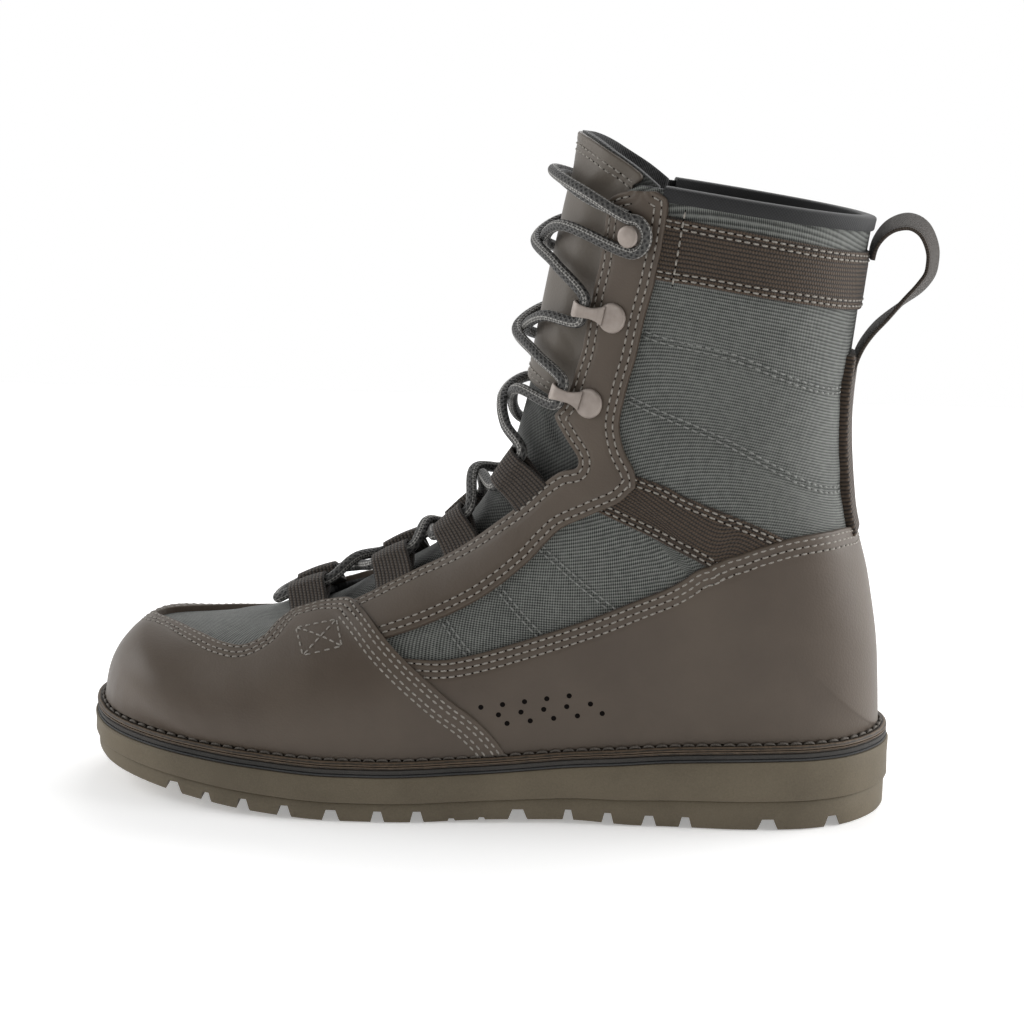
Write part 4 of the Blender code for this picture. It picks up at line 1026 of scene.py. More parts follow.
class Shade:
    """One material in the making, with short calls for its nodes."""

    def __init__(self, name: str, roughness: float, metallic: float = 0.0) -> None:
        """Start a Principled material.

        Args:
            name: Name of the finish.
            roughness: Roughness of the surface.
            metallic: Share of metal.
        """
        self.material = bpy.data.materials.new(name)
        self.material.use_nodes = True
        self.tree = self.material.node_tree
        self.shader = self.tree.nodes["Principled BSDF"]
        self.shader.inputs["Roughness"].default_value = roughness
        self.shader.inputs["Metallic"].default_value = metallic

    def feed(self, socket: NodeSocket, value: object) -> None:
        """Link a socket into another, or set its value.

        Args:
            socket: The input.
            value: Another socket, or a number or colour.
        """
        if isinstance(value, NodeSocket):
            self.tree.links.new(value, socket)
        else:
            socket.default_value = value

    def add(self, kind: str, out: int | str = 0, **settings: object) -> NodeSocket:
        """New node: settings named like an input feed it, others set the node. Returns one output.

        Args:
            kind: Type of the node.
            out: Output to return.
            settings: Values by name.

        Returns:
            The output.
        """
        made = self.tree.nodes.new(kind)
        inputs = {item.name.replace(" ", "_").lower(): item for item in reversed(made.inputs)}
        for key, value in settings.items():
            if hasattr(made, key) and key not in inputs:
                setattr(made, key, value)
        inputs = {item.name.replace(" ", "_").lower(): item for item in reversed(made.inputs)}
        for key, value in settings.items():
            if key in inputs:
                self.feed(inputs[key], value)
        return made.outputs[out]

    def math(self, operation: str, *values: object) -> NodeSocket:
        """Result of one Math node.

        Args:
            operation: Name of the operation.
            values: Its inputs.

        Returns:
            The result.
        """
        made = self.tree.nodes.new("ShaderNodeMath")
        made.operation = operation
        for socket, value in zip(made.inputs, values):
            self.feed(socket, value)
        return made.outputs[0]

    def spread(self, noise: NodeSocket, share: float, base: NodeSocket) -> NodeSocket:
        """A noise about its middle, times a share, on top of a base."""
        return self.math("MULTIPLY_ADD", self.math("SUBTRACT", noise, 0.5), share, base)

    def place(self) -> NodeSocket:
        """Object coordinates."""
        return self.add("ShaderNodeTexCoord", "Object")

    def surface(self) -> tuple[NodeSocket, NodeSocket]:
        """The two pattern coordinates of the piece, in metres.

        Returns:
            The way along and the way across.
        """
        made = self.tree.nodes.new("ShaderNodeUVMap")
        made.uv_map = "surface"
        split = self.tree.nodes.new("ShaderNodeSeparateXYZ")
        self.tree.links.new(made.outputs[0], split.inputs[0])
        return split.outputs[0], split.outputs[1]

    def noise(self, scale: float, detail: float = 3.0, rough: float = 0.55) -> NodeSocket:
        """Soft noise in space."""
        return self.add(
            "ShaderNodeTexNoise", 0, vector=self.place(), scale=scale, detail=detail, roughness=rough
        )

    def mark(self, name: str) -> NodeSocket:
        """Named number of the mesh.

        Args:
            name: Name of the attribute.

        Returns:
            Its value.
        """
        made = self.tree.nodes.new("ShaderNodeAttribute")
        made.attribute_name = name
        return made.outputs["Fac"]

    def ramp(self, value: object, *stops: tuple[float, Sequence[float]]) -> NodeSocket:
        """Colours along a value.

        Args:
            value: Share to read.
            stops: Places with their colours.

        Returns:
            The colour.
        """
        made = self.tree.nodes.new("ShaderNodeValToRGB")
        self.feed(made.inputs[0], value)
        elements = made.color_ramp.elements
        while len(elements) < len(stops):
            elements.new(0.5)
        for element, (where, colour) in zip(elements, stops):
            element.position = where
            element.color = (*colour, 1.0)
        return made.outputs[0]

    def blend(self, share: object, low: object, high: object, kind: str = "MIX") -> NodeSocket:
        """Two colours mixed by a share.

        Args:
            share: Share of the second colour.
            low: First colour.
            high: Second colour.
            kind: Way to mix.

        Returns:
            The colour.
        """
        made = self.tree.nodes.new("ShaderNodeMix")
        made.data_type = "RGBA"
        made.blend_type = kind
        self.feed(made.inputs[0], share)
        for socket, value in ((made.inputs[6], low), (made.inputs[7], high)):
            self.feed(socket, (*value, 1.0) if isinstance(value, tuple) else value)
        return made.outputs[2]

    def bump(self, *layers: tuple[object, float, float]) -> None:
        """Bump from heights, each with its strength and the depth in metres that it stands for.

        Args:
            layers: Height, strength and depth of each layer.
        """
        normal = None
        for height, strength, distance in layers:
            made = self.tree.nodes.new("ShaderNodeBump")
            made.inputs["Strength"].default_value = strength
            made.inputs["Distance"].default_value = distance
            self.feed(made.inputs["Height"], height)
            if normal is not None:
                self.tree.links.new(normal, made.inputs["Normal"])
            normal = made.outputs[0]
        self.tree.links.new(normal, self.shader.inputs["Normal"])

    def colour(self, value: object) -> None:
        """Base colour of the finish."""
        self.feed(self.shader.inputs["Base Color"], (*value, 1.0) if isinstance(value, tuple) else value)

    def rough(self, value: object) -> None:
        """Roughness of the finish."""
        self.feed(self.shader.inputs["Roughness"], value)


@dataclass(frozen=True)
class LeatherFinish:
    """Waxed full grain leather: fine grain, soft mottling, a faint bloom, and painted shade darkening its cut
    edges.
    """

    name: str = "leather"
    light: Colour = (0.096, 0.074, 0.055)
    dark: Colour = (0.076, 0.057, 0.042)
    # Colour of the edge walls: painted shade along the panel's edges.
    edge_shade: Colour = (0.060, 0.042, 0.028)

    def make(self) -> Material:
        """Build the material.

        Returns:
            The finish.
        """
        shade = Shade(self.name, 0.5)
        mottle = shade.noise(22.0, 4.0)
        grain = shade.add(
            "ShaderNodeTexVoronoi", 0, vector=shade.place(), scale=1100.0, randomness=1.0
        )
        pores = shade.noise(2600.0, 2.0)
        body = shade.ramp(mottle, (0.35, self.dark), (0.68, self.light))
        fine = shade.math("MULTIPLY_ADD", pores, 0.16, 0.92)
        body = shade.blend(1.0, body, shade.ramp(fine, (0.0, (0.0,) * 3), (1.0, (1.0,) * 3)), "MULTIPLY")
        # The cut mark darkens the panel's edge walls: painted shade where the panel meets what it lies on.
        shade.colour(shade.blend(shade.mark("cut"), body, self.edge_shade))
        shade.rough(shade.math("MULTIPLY_ADD", mottle, 0.22, 0.40))
        shade.bump((shade.noise(60.0, 3.0), 0.25, 0.0006), (grain, 0.16, 0.0003), (pores, 0.10, 0.0002))
        shade.shader.inputs["Sheen Weight"].default_value = 0.06
        shade.shader.inputs["Specular IOR Level"].default_value = 0.36
        return shade.material


@dataclass(frozen=True)
class WovenFinish:
    """Woven cloth: rows of thread over and under, with slubs, painted highlight on their crowns and painted
    shade between.
    """

    name: str
    light: Colour
    dark: Colour
    pitch_u: float
    pitch_v: float
    depth: float = 0.0004
    slub: float = 0.35
    roughness: float = 0.78

    def make(self) -> Material:
        """Build the material: the weave's height is a product of two waves, offset row by row; it also paints
        highlight and shade into the colour.

        Returns:
            The finish.
        """
        shade = Shade(self.name, self.roughness)
        u, v = shade.surface()
        across = shade.math("MULTIPLY", u, 2 * np.pi / self.pitch_u)
        down = shade.math("MULTIPLY", v, 2 * np.pi / self.pitch_v)
        over = shade.math("MULTIPLY", shade.math("SINE", across), shade.math("SINE", down))
        fine = shade.math("SINE", shade.math("MULTIPLY", shade.math("ADD", across, down), 2.0))
        height = shade.math("MULTIPLY_ADD", over, 0.45, 0.5)
        height = shade.math("MULTIPLY_ADD", fine, 0.05, height)
        slubs = shade.noise(420.0, 2.0)
        cloud = shade.noise(26.0, 2.0)
        tone = shade.spread(slubs, self.slub, height)
        tone = shade.spread(cloud, 0.25, tone)
        # Colour by the weave's height: painted highlight on the crowns, painted shade in the gaps between
        # threads.
        shade.colour(shade.ramp(tone, (0.24, self.dark), (0.80, self.light)))
        shade.bump((height, 0.75, self.depth), (slubs, 0.2, 0.0002))
        shade.shader.inputs["Sheen Weight"].default_value = 0.12
        return shade.material


@dataclass(frozen=True)
class RibbedFinish:
    """Webbing: cords along the strap with short picks across them, painted highlight on their crowns and
    painted shade between.
    """

    name: str
    light: Colour
    dark: Colour
    cord: float = 0.0015
    pick: float = 0.0011
    depth: float = 0.0005

    def make(self) -> Material:
        """Build the material: rounded cords along v, broken by picks that step from cord to cord; their
        height also paints highlight and shade into the colour.

        Returns:
            The finish.
        """
        shade = Shade(self.name, 0.8)
        u, v = shade.surface()
        cord = shade.math("ABSOLUTE", shade.math("SINE", shade.math("MULTIPLY", v, np.pi / self.cord)))
        row = shade.math("FLOOR", shade.math("DIVIDE", v, self.cord))
        step = shade.math("MULTIPLY", shade.math("MODULO", row, 2.0), np.pi)
        picks = shade.math("SINE", shade.math("ADD", shade.math("MULTIPLY", u, 2 * np.pi / self.pick), step))
        height = shade.math("MULTIPLY_ADD", picks, 0.22, shade.math("MULTIPLY", cord, 0.75))
        fibre = shade.noise(700.0, 2.0)
        tone = shade.spread(fibre, 0.5, height)
        # Colour by the cords' height: painted highlight on their crowns, painted shade between them.
        shade.colour(shade.ramp(tone, (0.10, self.dark), (0.85, self.light)))
        shade.bump((height, 0.85, self.depth), (fibre, 0.25, 0.0002))
        shade.shader.inputs["Sheen Weight"].default_value = 0.1
        return shade.material


@dataclass(frozen=True)
class RubberFinish:
    """Moulded rubber: matt, finely pitted, a little dusty."""

    name: str
    light: Colour
    dark: Colour
    roughness: float = 0.72

    def make(self) -> Material:
        """Build the material.

        Returns:
            The finish.
        """
        shade = Shade(self.name, self.roughness)
        cloud = shade.noise(30.0, 4.0)
        pits = shade.noise(1500.0, 2.0)
        tone = shade.spread(pits, 0.5, cloud)
        shade.colour(shade.ramp(tone, (0.3, self.dark), (0.7, self.light)))
        shade.bump((pits, 0.3, 0.0003))
        return shade.material


@dataclass(frozen=True)
class WeltFinish:
    """Pressed leather welt: layers that show as fine lines along its edge."""

    name: str = "welt_leather"
    light: Colour = (0.100, 0.068, 0.041)
    dark: Colour = (0.020, 0.014, 0.009)

    def make(self) -> Material:
        """Build the material: lines by the layer mark, broken by noise.

        Returns:
            The finish.
        """
        shade = Shade(self.name, 0.62)
        layer = shade.mark("layer")
        rough = shade.noise(520.0, 3.0)
        wander = shade.math("MULTIPLY_ADD", shade.noise(160.0, 2.0), 0.16, layer)
        lines = shade.math("SINE", shade.math("MULTIPLY", wander, 2 * np.pi * 3.0))
        tone = shade.math("MULTIPLY_ADD", lines, 0.30, shade.math("MULTIPLY", rough, 0.9))
        shade.colour(shade.ramp(tone, (0.18, self.dark), (0.70, self.light)))
        shade.bump((tone, 0.5, 0.0004))
        return shade.material


@dataclass(frozen=True)
class MetalFinish:
    """Enamelled sheet metal, satin, with a soft cloud of tone."""

    name: str = "hook_metal"
    light: Colour = (0.350, 0.300, 0.265)
    dark: Colour = (0.275, 0.232, 0.204)

    def make(self) -> Material:
        """Build the material.

        Returns:
            The finish.
        """
        shade = Shade(self.name, 0.45, 0.2)
        cloud = shade.noise(300.0, 3.0)
        shade.colour(shade.ramp(cloud, (0.3, self.dark), (0.7, self.light)))
        shade.rough(shade.math("MULTIPLY_ADD", cloud, 0.2, 0.34))
        shade.bump((cloud, 0.1, 0.0002))
        return shade.material


@dataclass(frozen=True)
class ThreadFinish:
    """Twisted sewing thread."""

    name: str
    light: Colour
    dark: Colour
    gloss: float = 0.5

    def make(self) -> Material:
        """Build the material.

        Returns:
            The finish.
        """
        shade = Shade(self.name, 0.7)
        twist = shade.noise(3200.0, 1.0)
        shade.colour(shade.ramp(twist, (0.35, self.dark), (0.65, self.light)))
        shade.bump((twist, 0.5, 0.0002))
        shade.shader.inputs["Specular IOR Level"].default_value = self.gloss
        return shade.material


@dataclass(frozen=True)
class BraidFinish:
    """Round braided lace: strands that cross in diamonds, with lighter flecks along it."""

    name: str = "lace_cord"
    light: Colour = (0.330, 0.320, 0.300)
    dark: Colour = (0.006, 0.006, 0.006)

    def make(self) -> Material:
        """Build the material: two families of slanting waves over the cord's own coordinates.

        Returns:
            The finish.
        """
        shade = Shade(self.name, 0.62)
        u, v = shade.surface()
        turn = shade.math("MULTIPLY", u, 2 * np.pi * 6.0)
        run = shade.math("MULTIPLY", v, 2 * np.pi / 0.0024)
        left = shade.math("SINE", shade.math("ADD", turn, run))
        right = shade.math("SINE", shade.math("SUBTRACT", turn, run))
        strands = shade.math("MULTIPLY_ADD", shade.math("MAXIMUM", left, right), 0.5, 0.5)
        tracer = shade.math("COMPARE", shade.math("FRACT", shade.math("MULTIPLY", u, 3.0)), 0.5, 0.17)
        picks = shade.math("GREATER_THAN", shade.math("MULTIPLY", left, right), 0.0)
        fleck = shade.math("MULTIPLY", tracer, picks)
        # The strands' height adds a painted highlight on their crowns; the flecks are the lace's own tracer.
        tone = shade.math("MULTIPLY_ADD", fleck, 0.75, shade.math("MULTIPLY", strands, 0.24))
        shade.colour(shade.ramp(tone, (0.05, self.dark), (0.95, self.light)))
        shade.bump((strands, 0.8, 0.0005))
        return shade.material


class Finishes:
    """All finishes of the boot."""

    def __init__(self) -> None:
        """Make each finish once."""
        self.leather = LeatherFinish().make()
        # Tongue leather: greyer than the rest, and lighter as painted light standing in for the light that
        # falls on the tongue.
        tongue = (0.112, 0.094, 0.075), (0.092, 0.077, 0.061), (0.070, 0.055, 0.042)
        self.tongue_leather = LeatherFinish("tongue_leather", *tongue).make()
        weave = 0.00140, 0.00150
        # Tongue fabric: a darker copy of the fabric, painted shade of the tongue's place between the facings
        # and under the lace.
        self.tongue_fabric = WovenFinish(
            "tongue_fabric", (0.085, 0.088, 0.081), (0.006, 0.007, 0.006), *weave
        ).make()
        self.fabric = WovenFinish(
            "fabric", (0.196, 0.204, 0.188), (0.014, 0.016, 0.014), *weave
        ).make()
        self.webbing = RibbedFinish("webbing", (0.071, 0.046, 0.028), (0.008, 0.005, 0.003)).make()
        self.pull_web = RibbedFinish("pull_webbing", (0.040, 0.028, 0.018), (0.005, 0.003, 0.002)).make()
        self.loop_web = RibbedFinish("loop_webbing", (0.060, 0.044, 0.032), (0.008, 0.006, 0.004)).make()
        self.binding = WovenFinish(
            "binding", (0.014, 0.0145, 0.0155), (0.006, 0.006, 0.0065), 0.0012, 0.0012, 0.0001
        ).make()
        self.lining = WovenFinish(
            "lining", (0.009, 0.009, 0.010), (0.003, 0.003, 0.003), 0.0020, 0.0020, 0.0003
        ).make()
        self.outsole = RubberFinish("outsole_rubber", (0.133, 0.108, 0.070), (0.096, 0.077, 0.049)).make()
        self.midsole = RubberFinish("midsole_rubber", (0.038, 0.034, 0.030), (0.016, 0.015, 0.013)).make()
        # A lighter grey copy of the midsole rubber for its lower bevel: painted highlight along it.
        self.rand = RubberFinish("rand_rubber", (0.040, 0.040, 0.040), (0.018, 0.018, 0.018)).make()
        self.welt = WeltFinish().make()
        self.insole = WovenFinish(
            "insole_foam", (0.050, 0.052, 0.054), (0.018, 0.019, 0.020), 0.0020, 0.0020, 0.0003
        ).make()
        self.metal = MetalFinish().make()
        self.thread = ThreadFinish("thread", (0.350, 0.325, 0.288), (0.180, 0.164, 0.142)).make()
        self.cloth_thread = ThreadFinish("cloth_thread", (0.270, 0.275, 0.260), (0.135, 0.138, 0.130)).make()
        self.welt_thread = ThreadFinish("welt_thread", (0.120, 0.102, 0.084), (0.048, 0.040, 0.033)).make()
        # Dark finish of the needle and drain holes: painted shade of the holes, almost without gloss.
        self.hole_shade = ThreadFinish("hole_shade", (0.006, 0.005, 0.004), (0.003, 0.002, 0.002), 0.05).make()
        self.cord = BraidFinish().make()


@dataclass
class Stitching:
    """Collects sewn rows and turns each kind of thread into one mesh of small bowed capsules."""

    finishes: Finishes
    pitch: float = 0.0031
    length: float = 0.0023
    radius: float = 0.00035
    stitches: dict[str, list[Array]] = field(default_factory=dict)
    holes: list[Array] = field(default_factory=list)
    hole_lift: float = 0.00006
    hole_share: float = 0.90

    def row(
        self,
        kind: str,
        points: Array,
        normals: Array,
        pitch: float | None = None,
        length: float | None = None,
        radius: float | None = None,
        needle_hole_shades: bool = True,
    ) -> None:
        """Add one row of stitches along a line of points.

        Args:
            kind: Name of the thread.
            points: Points of the line.
            normals: Outward vectors at the points.
            pitch: Distance from stitch to stitch.
            length: Length of one stitch.
            radius: Thickness of the thread.
            needle_hole_shades: Whether a dark disc, painted shade of the needle hole, lies between stitches.
        """
        pitch = pitch or self.pitch
        walked = arc_length(points)
        count = int(walked[-1] / pitch)
        if count < 1:
            return
        places = (np.arange(count) + 0.5) * walked[-1] / count
        data = np.concatenate([points, normals], 1)
        here = read_line(places, walked, data)
        ahead = read_line(places + pitch / 4, walked, points)
        behind = read_line(places - pitch / 4, walked, points)
        way = unit(ahead - behind)
        normal = unit(here[:, 3:] - way * (here[:, 3:] * way).sum(1)[:, None])
        size = np.column_stack([np.full(count, length or self.length), np.full(count, radius or self.radius)])
        self.stitches.setdefault(kind, []).append(np.column_stack([here[:, :3], way, normal, size]))
        if needle_hole_shades:
            edges = np.arange(count + 1) * walked[-1] / count
            spot = read_line(edges, walked, data)
            wide = (radius or self.radius) * self.hole_share
            self.holes.append(np.column_stack([spot, np.full(count + 1, wide)]))

    @staticmethod
    def capsule() -> tuple[Array, Array]:
        """Unit stitch: rings of six points whose middle bows up and whose ends dip down.

        Returns:
            Points and quads.
        """
        along = np.array([-0.5, -0.40, -0.15, 0.15, 0.40, 0.5])
        thick = np.array([0.35, 0.85, 1.0, 1.0, 0.85, 0.35])
        rise = np.array([-0.75, -0.1, 0.35, 0.35, -0.1, -0.75])
        turn = np.linspace(0, 2 * np.pi, 6, endpoint=False)
        points = np.stack(
            np.broadcast_arrays(
                along[:, None], thick[:, None] * np.cos(turn), rise[:, None] + thick[:, None] * np.sin(turn)
            ),
            -1,
        )
        return points.reshape(-1, 3), MeshShop.quads(6, 6, close_columns=True)

    def sew(self) -> list[Object]:
        """Make one object of each kind of thread, and one of dark discs that paint the shade of all needle
        holes.

        Returns:
            The objects.
        """
        made = []
        template, quads = self.capsule()
        for kind, parts in self.stitches.items():
            data = np.vstack(parts)
            origin, way, normal = data[:, None, :3], data[:, None, 3:6], data[:, None, 6:9]
            across = np.cross(normal, way)
            length, radius = data[:, None, 9:10], data[:, None, 10:11]
            points = (
                origin
                + way * template[None, :, :1] * length
                + across * template[None, :, 1:2] * radius
                + normal * template[None, :, 2:] * radius
            )
            shift = np.arange(len(data))[:, None, None] * len(template)
            faces = (quads[None] + shift).reshape(-1, 4)[:, ::-1]
            made.append(MeshShop.add("stitches_" + kind, points, faces, [getattr(self.finishes, kind)]))
        # Needle holes: dark discs lying on the surface, painted shade of the holes.
        data = np.vstack(self.holes)
        normal = unit(data[:, 3:6])
        way = unit(np.cross(normal, np.array([0.31, 0.2, 0.93])))
        across = np.cross(normal, way)
        turn = np.linspace(0, 2 * np.pi, 8, endpoint=False)
        ring = way[:, None] * np.cos(turn)[None, :, None] + across[:, None] * np.sin(turn)[None, :, None]
        points = data[:, None, :3] + ring * data[:, None, 6:7] + normal[:, None] * self.hole_lift
        base = np.arange(len(data))[:, None, None] * 8
        fan = np.array([[0, 1, 2, 3], [0, 3, 4, 5], [0, 5, 6, 7]])
        faces = (fan[None] + base).reshape(-1, 4)
        faces = MeshShop.faced(points, faces, np.repeat(normal[:, None], 8, 1))
        made.append(MeshShop.add("needle_hole_shades", points, faces, [self.finishes.hole_shade]))
        return made


@dataclass(frozen=True)
class SeamRow:
    """A sewn row on a panel: the edge that it follows, its distance in, and where it starts and stops."""

    edge: str
    offset: float
    start: float = 0.0
    stop: float = 1.0


@dataclass
class Panel:
    """Leather or webbing laid on the form between a foot edge and a top edge.

    Args:
        name: Name of the piece.
        node: CAD nodes that it replaces.
        cuts: Table of its edges.
        join: Where its two sides meet.
        side: Side that it lies on, for a panel of one side.
        thickness: Its thickness.
        base: Lift of the surface that it lies on, a number or a function of station and around.
        rolled: Edges that show, each rounded over: foot, top, start, end.
        rows: Sewn rows.
        pitch: Distance between its grid's points.
        radius: Radius of its rounded edges.
        groove: Depth of the trough under a sewn row.
        slot: Name of its finish.
        thread: Name of its thread.
        skirt: How far its walls reach below its base.
        wall_share: Share of the thickness below the rounded edge.
        trough: Half width of the trough under a sewn row.
    """

    name: str
    nodes: tuple[str, ...]
    cuts: Sequence[Cut]
    join: Join = Join.NONE
    side: int = -1
    thickness: float = 0.0022
    base: float | Callable[[Array, Array], Array] = -0.0011
    rolled: tuple[str, ...] = ("foot", "top", "start", "end")
    rows: tuple[SeamRow, ...] = ()
    pitch: float = 0.0012
    radius: float = 0.0007
    groove: float = 0.00028
    slot: str = "leather"
    thread: str = "thread"
    skirt: float = 0.0002
    wall_share: float = 0.55
    trough: float = 0.0007

    @property
    def low(self) -> float:
        """Share along at which the panel starts: -1 where its two sides meet, otherwise 0."""
        return 0.0 if self.join is Join.NONE else -1.0

    @property
    def ends(self) -> tuple[str, str]:
        """Ends of the table at which the panel itself starts and stops."""
        free = {Join.NONE: ("start", "end"), Join.START: ("end", "end"), Join.END: ("start", "start")}
        return free[self.join]

    def place(self, q: Array, p: Array) -> tuple[Array, Array]:
        """Station and around at share q along the panel and share p from foot to top.

        Args:
            q: Shares along, from -1 to 1 on a joined panel and from 0 to 1 on another.
            p: Shares across.

        Returns:
            Stations and shares around.
        """
        q, p = np.broadcast_arrays(np.asarray(q, float), np.asarray(p, float))
        share = np.abs(q) if self.join is not Join.END else 1 - np.abs(q)
        sign = np.where(q < 0, -1.0, 1.0) if self.join is not Join.NONE else float(self.side)
        places = share * (len(self.cuts) - 1)
        knots = range(len(self.cuts))
        foot_s, foot_a, top_s, top_a = (curve(knots, column, places) for column in zip(*self.cuts))
        return foot_s + (top_s - foot_s) * p, sign * (foot_a + (top_a - foot_a) * p)

    def lift(self, station: Array, around: Array) -> Array:
        """Lift of what the panel lies on."""
        return self.base(station, around) if callable(self.base) else np.full(station.shape, self.base)

    def spans(self, form: BootForm, q: Array) -> tuple[Array, Array, Array]:
        """Length of the panel's columns, and the same measured square to its foot and its top edge.

        Args:
            form: The boot's form.
            q: Shares along.

        Returns:
            Three lengths for each column.
        """
        p = np.linspace(0.0, 1.0, 25)[:, None]
        station, around = self.place(q[None], p)
        points = form.flat(station, around)
        width = arc_length(points)[-1]
        square = []
        for row, inner in ((0, 1), (-1, -2)):
            edge = unit(np.gradient(points[row], axis=0))
            way = unit(points[inner] - points[row])
            square.append(width * np.clip(np.sqrt(1 - (edge * way).sum(1) ** 2), 0.45, 1.0))
        return width, square[0], square[1]

    def shares(self, form: BootForm) -> Array:
        """Shares along the panel at about even steps, doubled at the ends that are rounded over.

        Args:
            form: The boot's form.

        Returns:
            Shares along.
        """
        q = np.linspace(self.low, 1.0, 600)
        foot, top = (form.flat(*self.place(q, p)) for p in (0.0, 1.0))
        walked = np.maximum(np.gradient(arc_length(foot)), np.gradient(arc_length(top)))
        walked = np.cumsum(walked) - walked[0]
        count = max(4, int(walked[-1] / self.pitch))
        inner = np.linspace(0, walked[-1], count + 1)
        ends = np.array([0.0, 0.0, 0.25, 0.6]) * self.radius
        first, last = self.ends
        before = ends if first in self.rolled else ends[:1]
        after = walked[-1] - (ends if last in self.rolled else ends[:1])[::-1]
        return np.interp(np.concatenate([before, inner[1:-1], after]), walked, q)

    def grid(self, form: BootForm) -> tuple[Array, Array, Array, Array]:
        """Work out the panel's grid.

        The cross section rises square from the base to wall_share of the thickness, then as a quarter
        circle to its full height, and dips by a Gaussian trough under each sewn row.

        Args:
            form: The boot's form.

        Returns:
            Points, outward vectors, pattern coordinates and cut mark; the leather darkens the cut mark as
            painted edge shade.
        """
        q = self.shares(form)
        width, foot_square, top_square = self.spans(form, q)
        r = self.radius
        rim = np.array([0.0, 0.0, 0.2, 0.55, 1.0]) * r
        low = rim[:, None] / foot_square if "foot" in self.rolled else np.zeros((1, len(q)))
        high = 1 - rim[::-1, None] / top_square if "top" in self.rolled else np.ones((1, len(q)))
        count = max(3, int(np.median(width) / self.pitch))
        mid = np.linspace(0, 1, count + 1)[1:-1, None]
        p = np.concatenate([low, low[-1] + (high[0] - low[-1]) * mid, high])
        p = np.clip(p, 0.0, 1.0)
        qq = np.broadcast_to(q, p.shape)
        station, around = self.place(qq, p)
        inside = [np.full(p.shape, 1.0)]
        flat = form.flat(station, around)
        edges = set(self.rolled) | {seam.edge for seam in self.rows}
        far = {edge: distance_to(flat, self.edge(form, edge)) for edge in edges if edge in ("foot", "top")}
        inside += [far[edge] for edge in ("foot", "top") if edge in self.rolled]
        walked = arc_length(flat, axis=1)
        first, last = self.ends
        if first in self.rolled:
            inside.append(walked)
        if last in self.rolled:
            inside.append(walked[:, -1:] - walked)
        distance = np.min(inside, axis=0)
        round_over = np.sqrt(np.clip(1 - (1 - np.clip(distance / r, 0, 1)) ** 2, 0, 1))
        rise = self.wall_share + (1 - self.wall_share) * round_over
        wall = np.zeros(p.shape, bool)
        if "foot" in self.rolled:
            wall[0] = True
        if "top" in self.rolled:
            wall[-1] = True
        wall[:, 0] |= first in self.rolled
        wall[:, -1] |= last in self.rolled
        for seam in self.rows:
            off = far[seam.edge] - seam.offset
            rise = rise - self.groove / self.thickness * np.exp(-((off / self.trough) ** 2))
        lift = self.lift(station, around) + np.where(wall, -self.skirt, self.thickness * rise)
        points = form.at(station, around, lift)
        normals = form.normal(station, around)
        uv = np.stack([walked, arc_length(flat, axis=0)], -1)
        # Cut mark: 1 on the edge walls, read by the leather as painted shade.
        cut = np.clip(1.0 - distance / (0.5 * r), 0.0, 1.0)
        return points, normals, uv, cut

    def edge(self, form: BootForm, kind: str) -> Array:
        """Points along the whole foot or top edge."""
        q = np.linspace(self.low, 1.0, 900)
        return form.flat(*self.place(q, 0.0 if kind == "foot" else 1.0))

    def sew(self, form: BootForm, stitching: Stitching) -> None:
        """Add the panel's sewn rows to the stitching, each parallel to its edge.

        Args:
            form: The boot's form.
            stitching: Collector of sewn rows.
        """
        low, whole = self.low, 1 - self.low
        for seam in self.rows:
            q = np.linspace(low + whole * seam.start, low + whole * seam.stop, 900)
            at, near = (0.0, 0.1) if seam.edge == "foot" else (1.0, 0.9)
            station, around = self.place(q, at)
            inner = form.flat(*self.place(q, near))
            station, around = form.parallel(station, around, seam.offset, inner)
            lift = self.lift(station, around) + self.thickness - self.groove * 0.8
            stitching.row(self.thread, form.at(station, around, lift), form.normal(station, around))

    def build(self, form: BootForm, finishes: Finishes, stitching: Stitching) -> Object:
        """Make the panel, sew it, and put it in place of its solids.

        Args:
            form: The boot's form.
            finishes: All finishes.
            stitching: Collector of sewn rows.

        Returns:
            The object.
        """
        points, normals, uv, cut = self.grid(form)
        piece = MeshShop.sheet(
            self.name, points, normals, [getattr(finishes, self.slot)], uv, {"cut": cut}, sharp=60
        )
        self.sew(form, stitching)
        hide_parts(*self.nodes)
        log.info("%s: %d points", self.name, points.shape[0] * points.shape[1])
        return piece


@dataclass
class Vamp(Panel):
    """Toe leather whose rear edge bows back over the foxing."""

    def place(self, q: Array, p: Array) -> tuple[Array, Array]:
        """Station and around, the last rows bent from a straight line to the rear edge.

        Args:
            q: Shares along, from one side to the other.
            p: Shares from foot to top.

        Returns:
            Stations and shares around.
        """
        station, around = super().place(q, p)
        last = self.cuts[-1]
        slope = (last.foot_station - last.top_station) / (last.foot_around - last.top_around)
        straight = last.top_station + slope * (np.abs(around) - last.top_around)
        bent = smooth_step(0.917, 1.0, np.broadcast_to(np.abs(np.asarray(q, float)), station.shape))
        return station + (vamp_rear_at(around) - straight) * bent, around


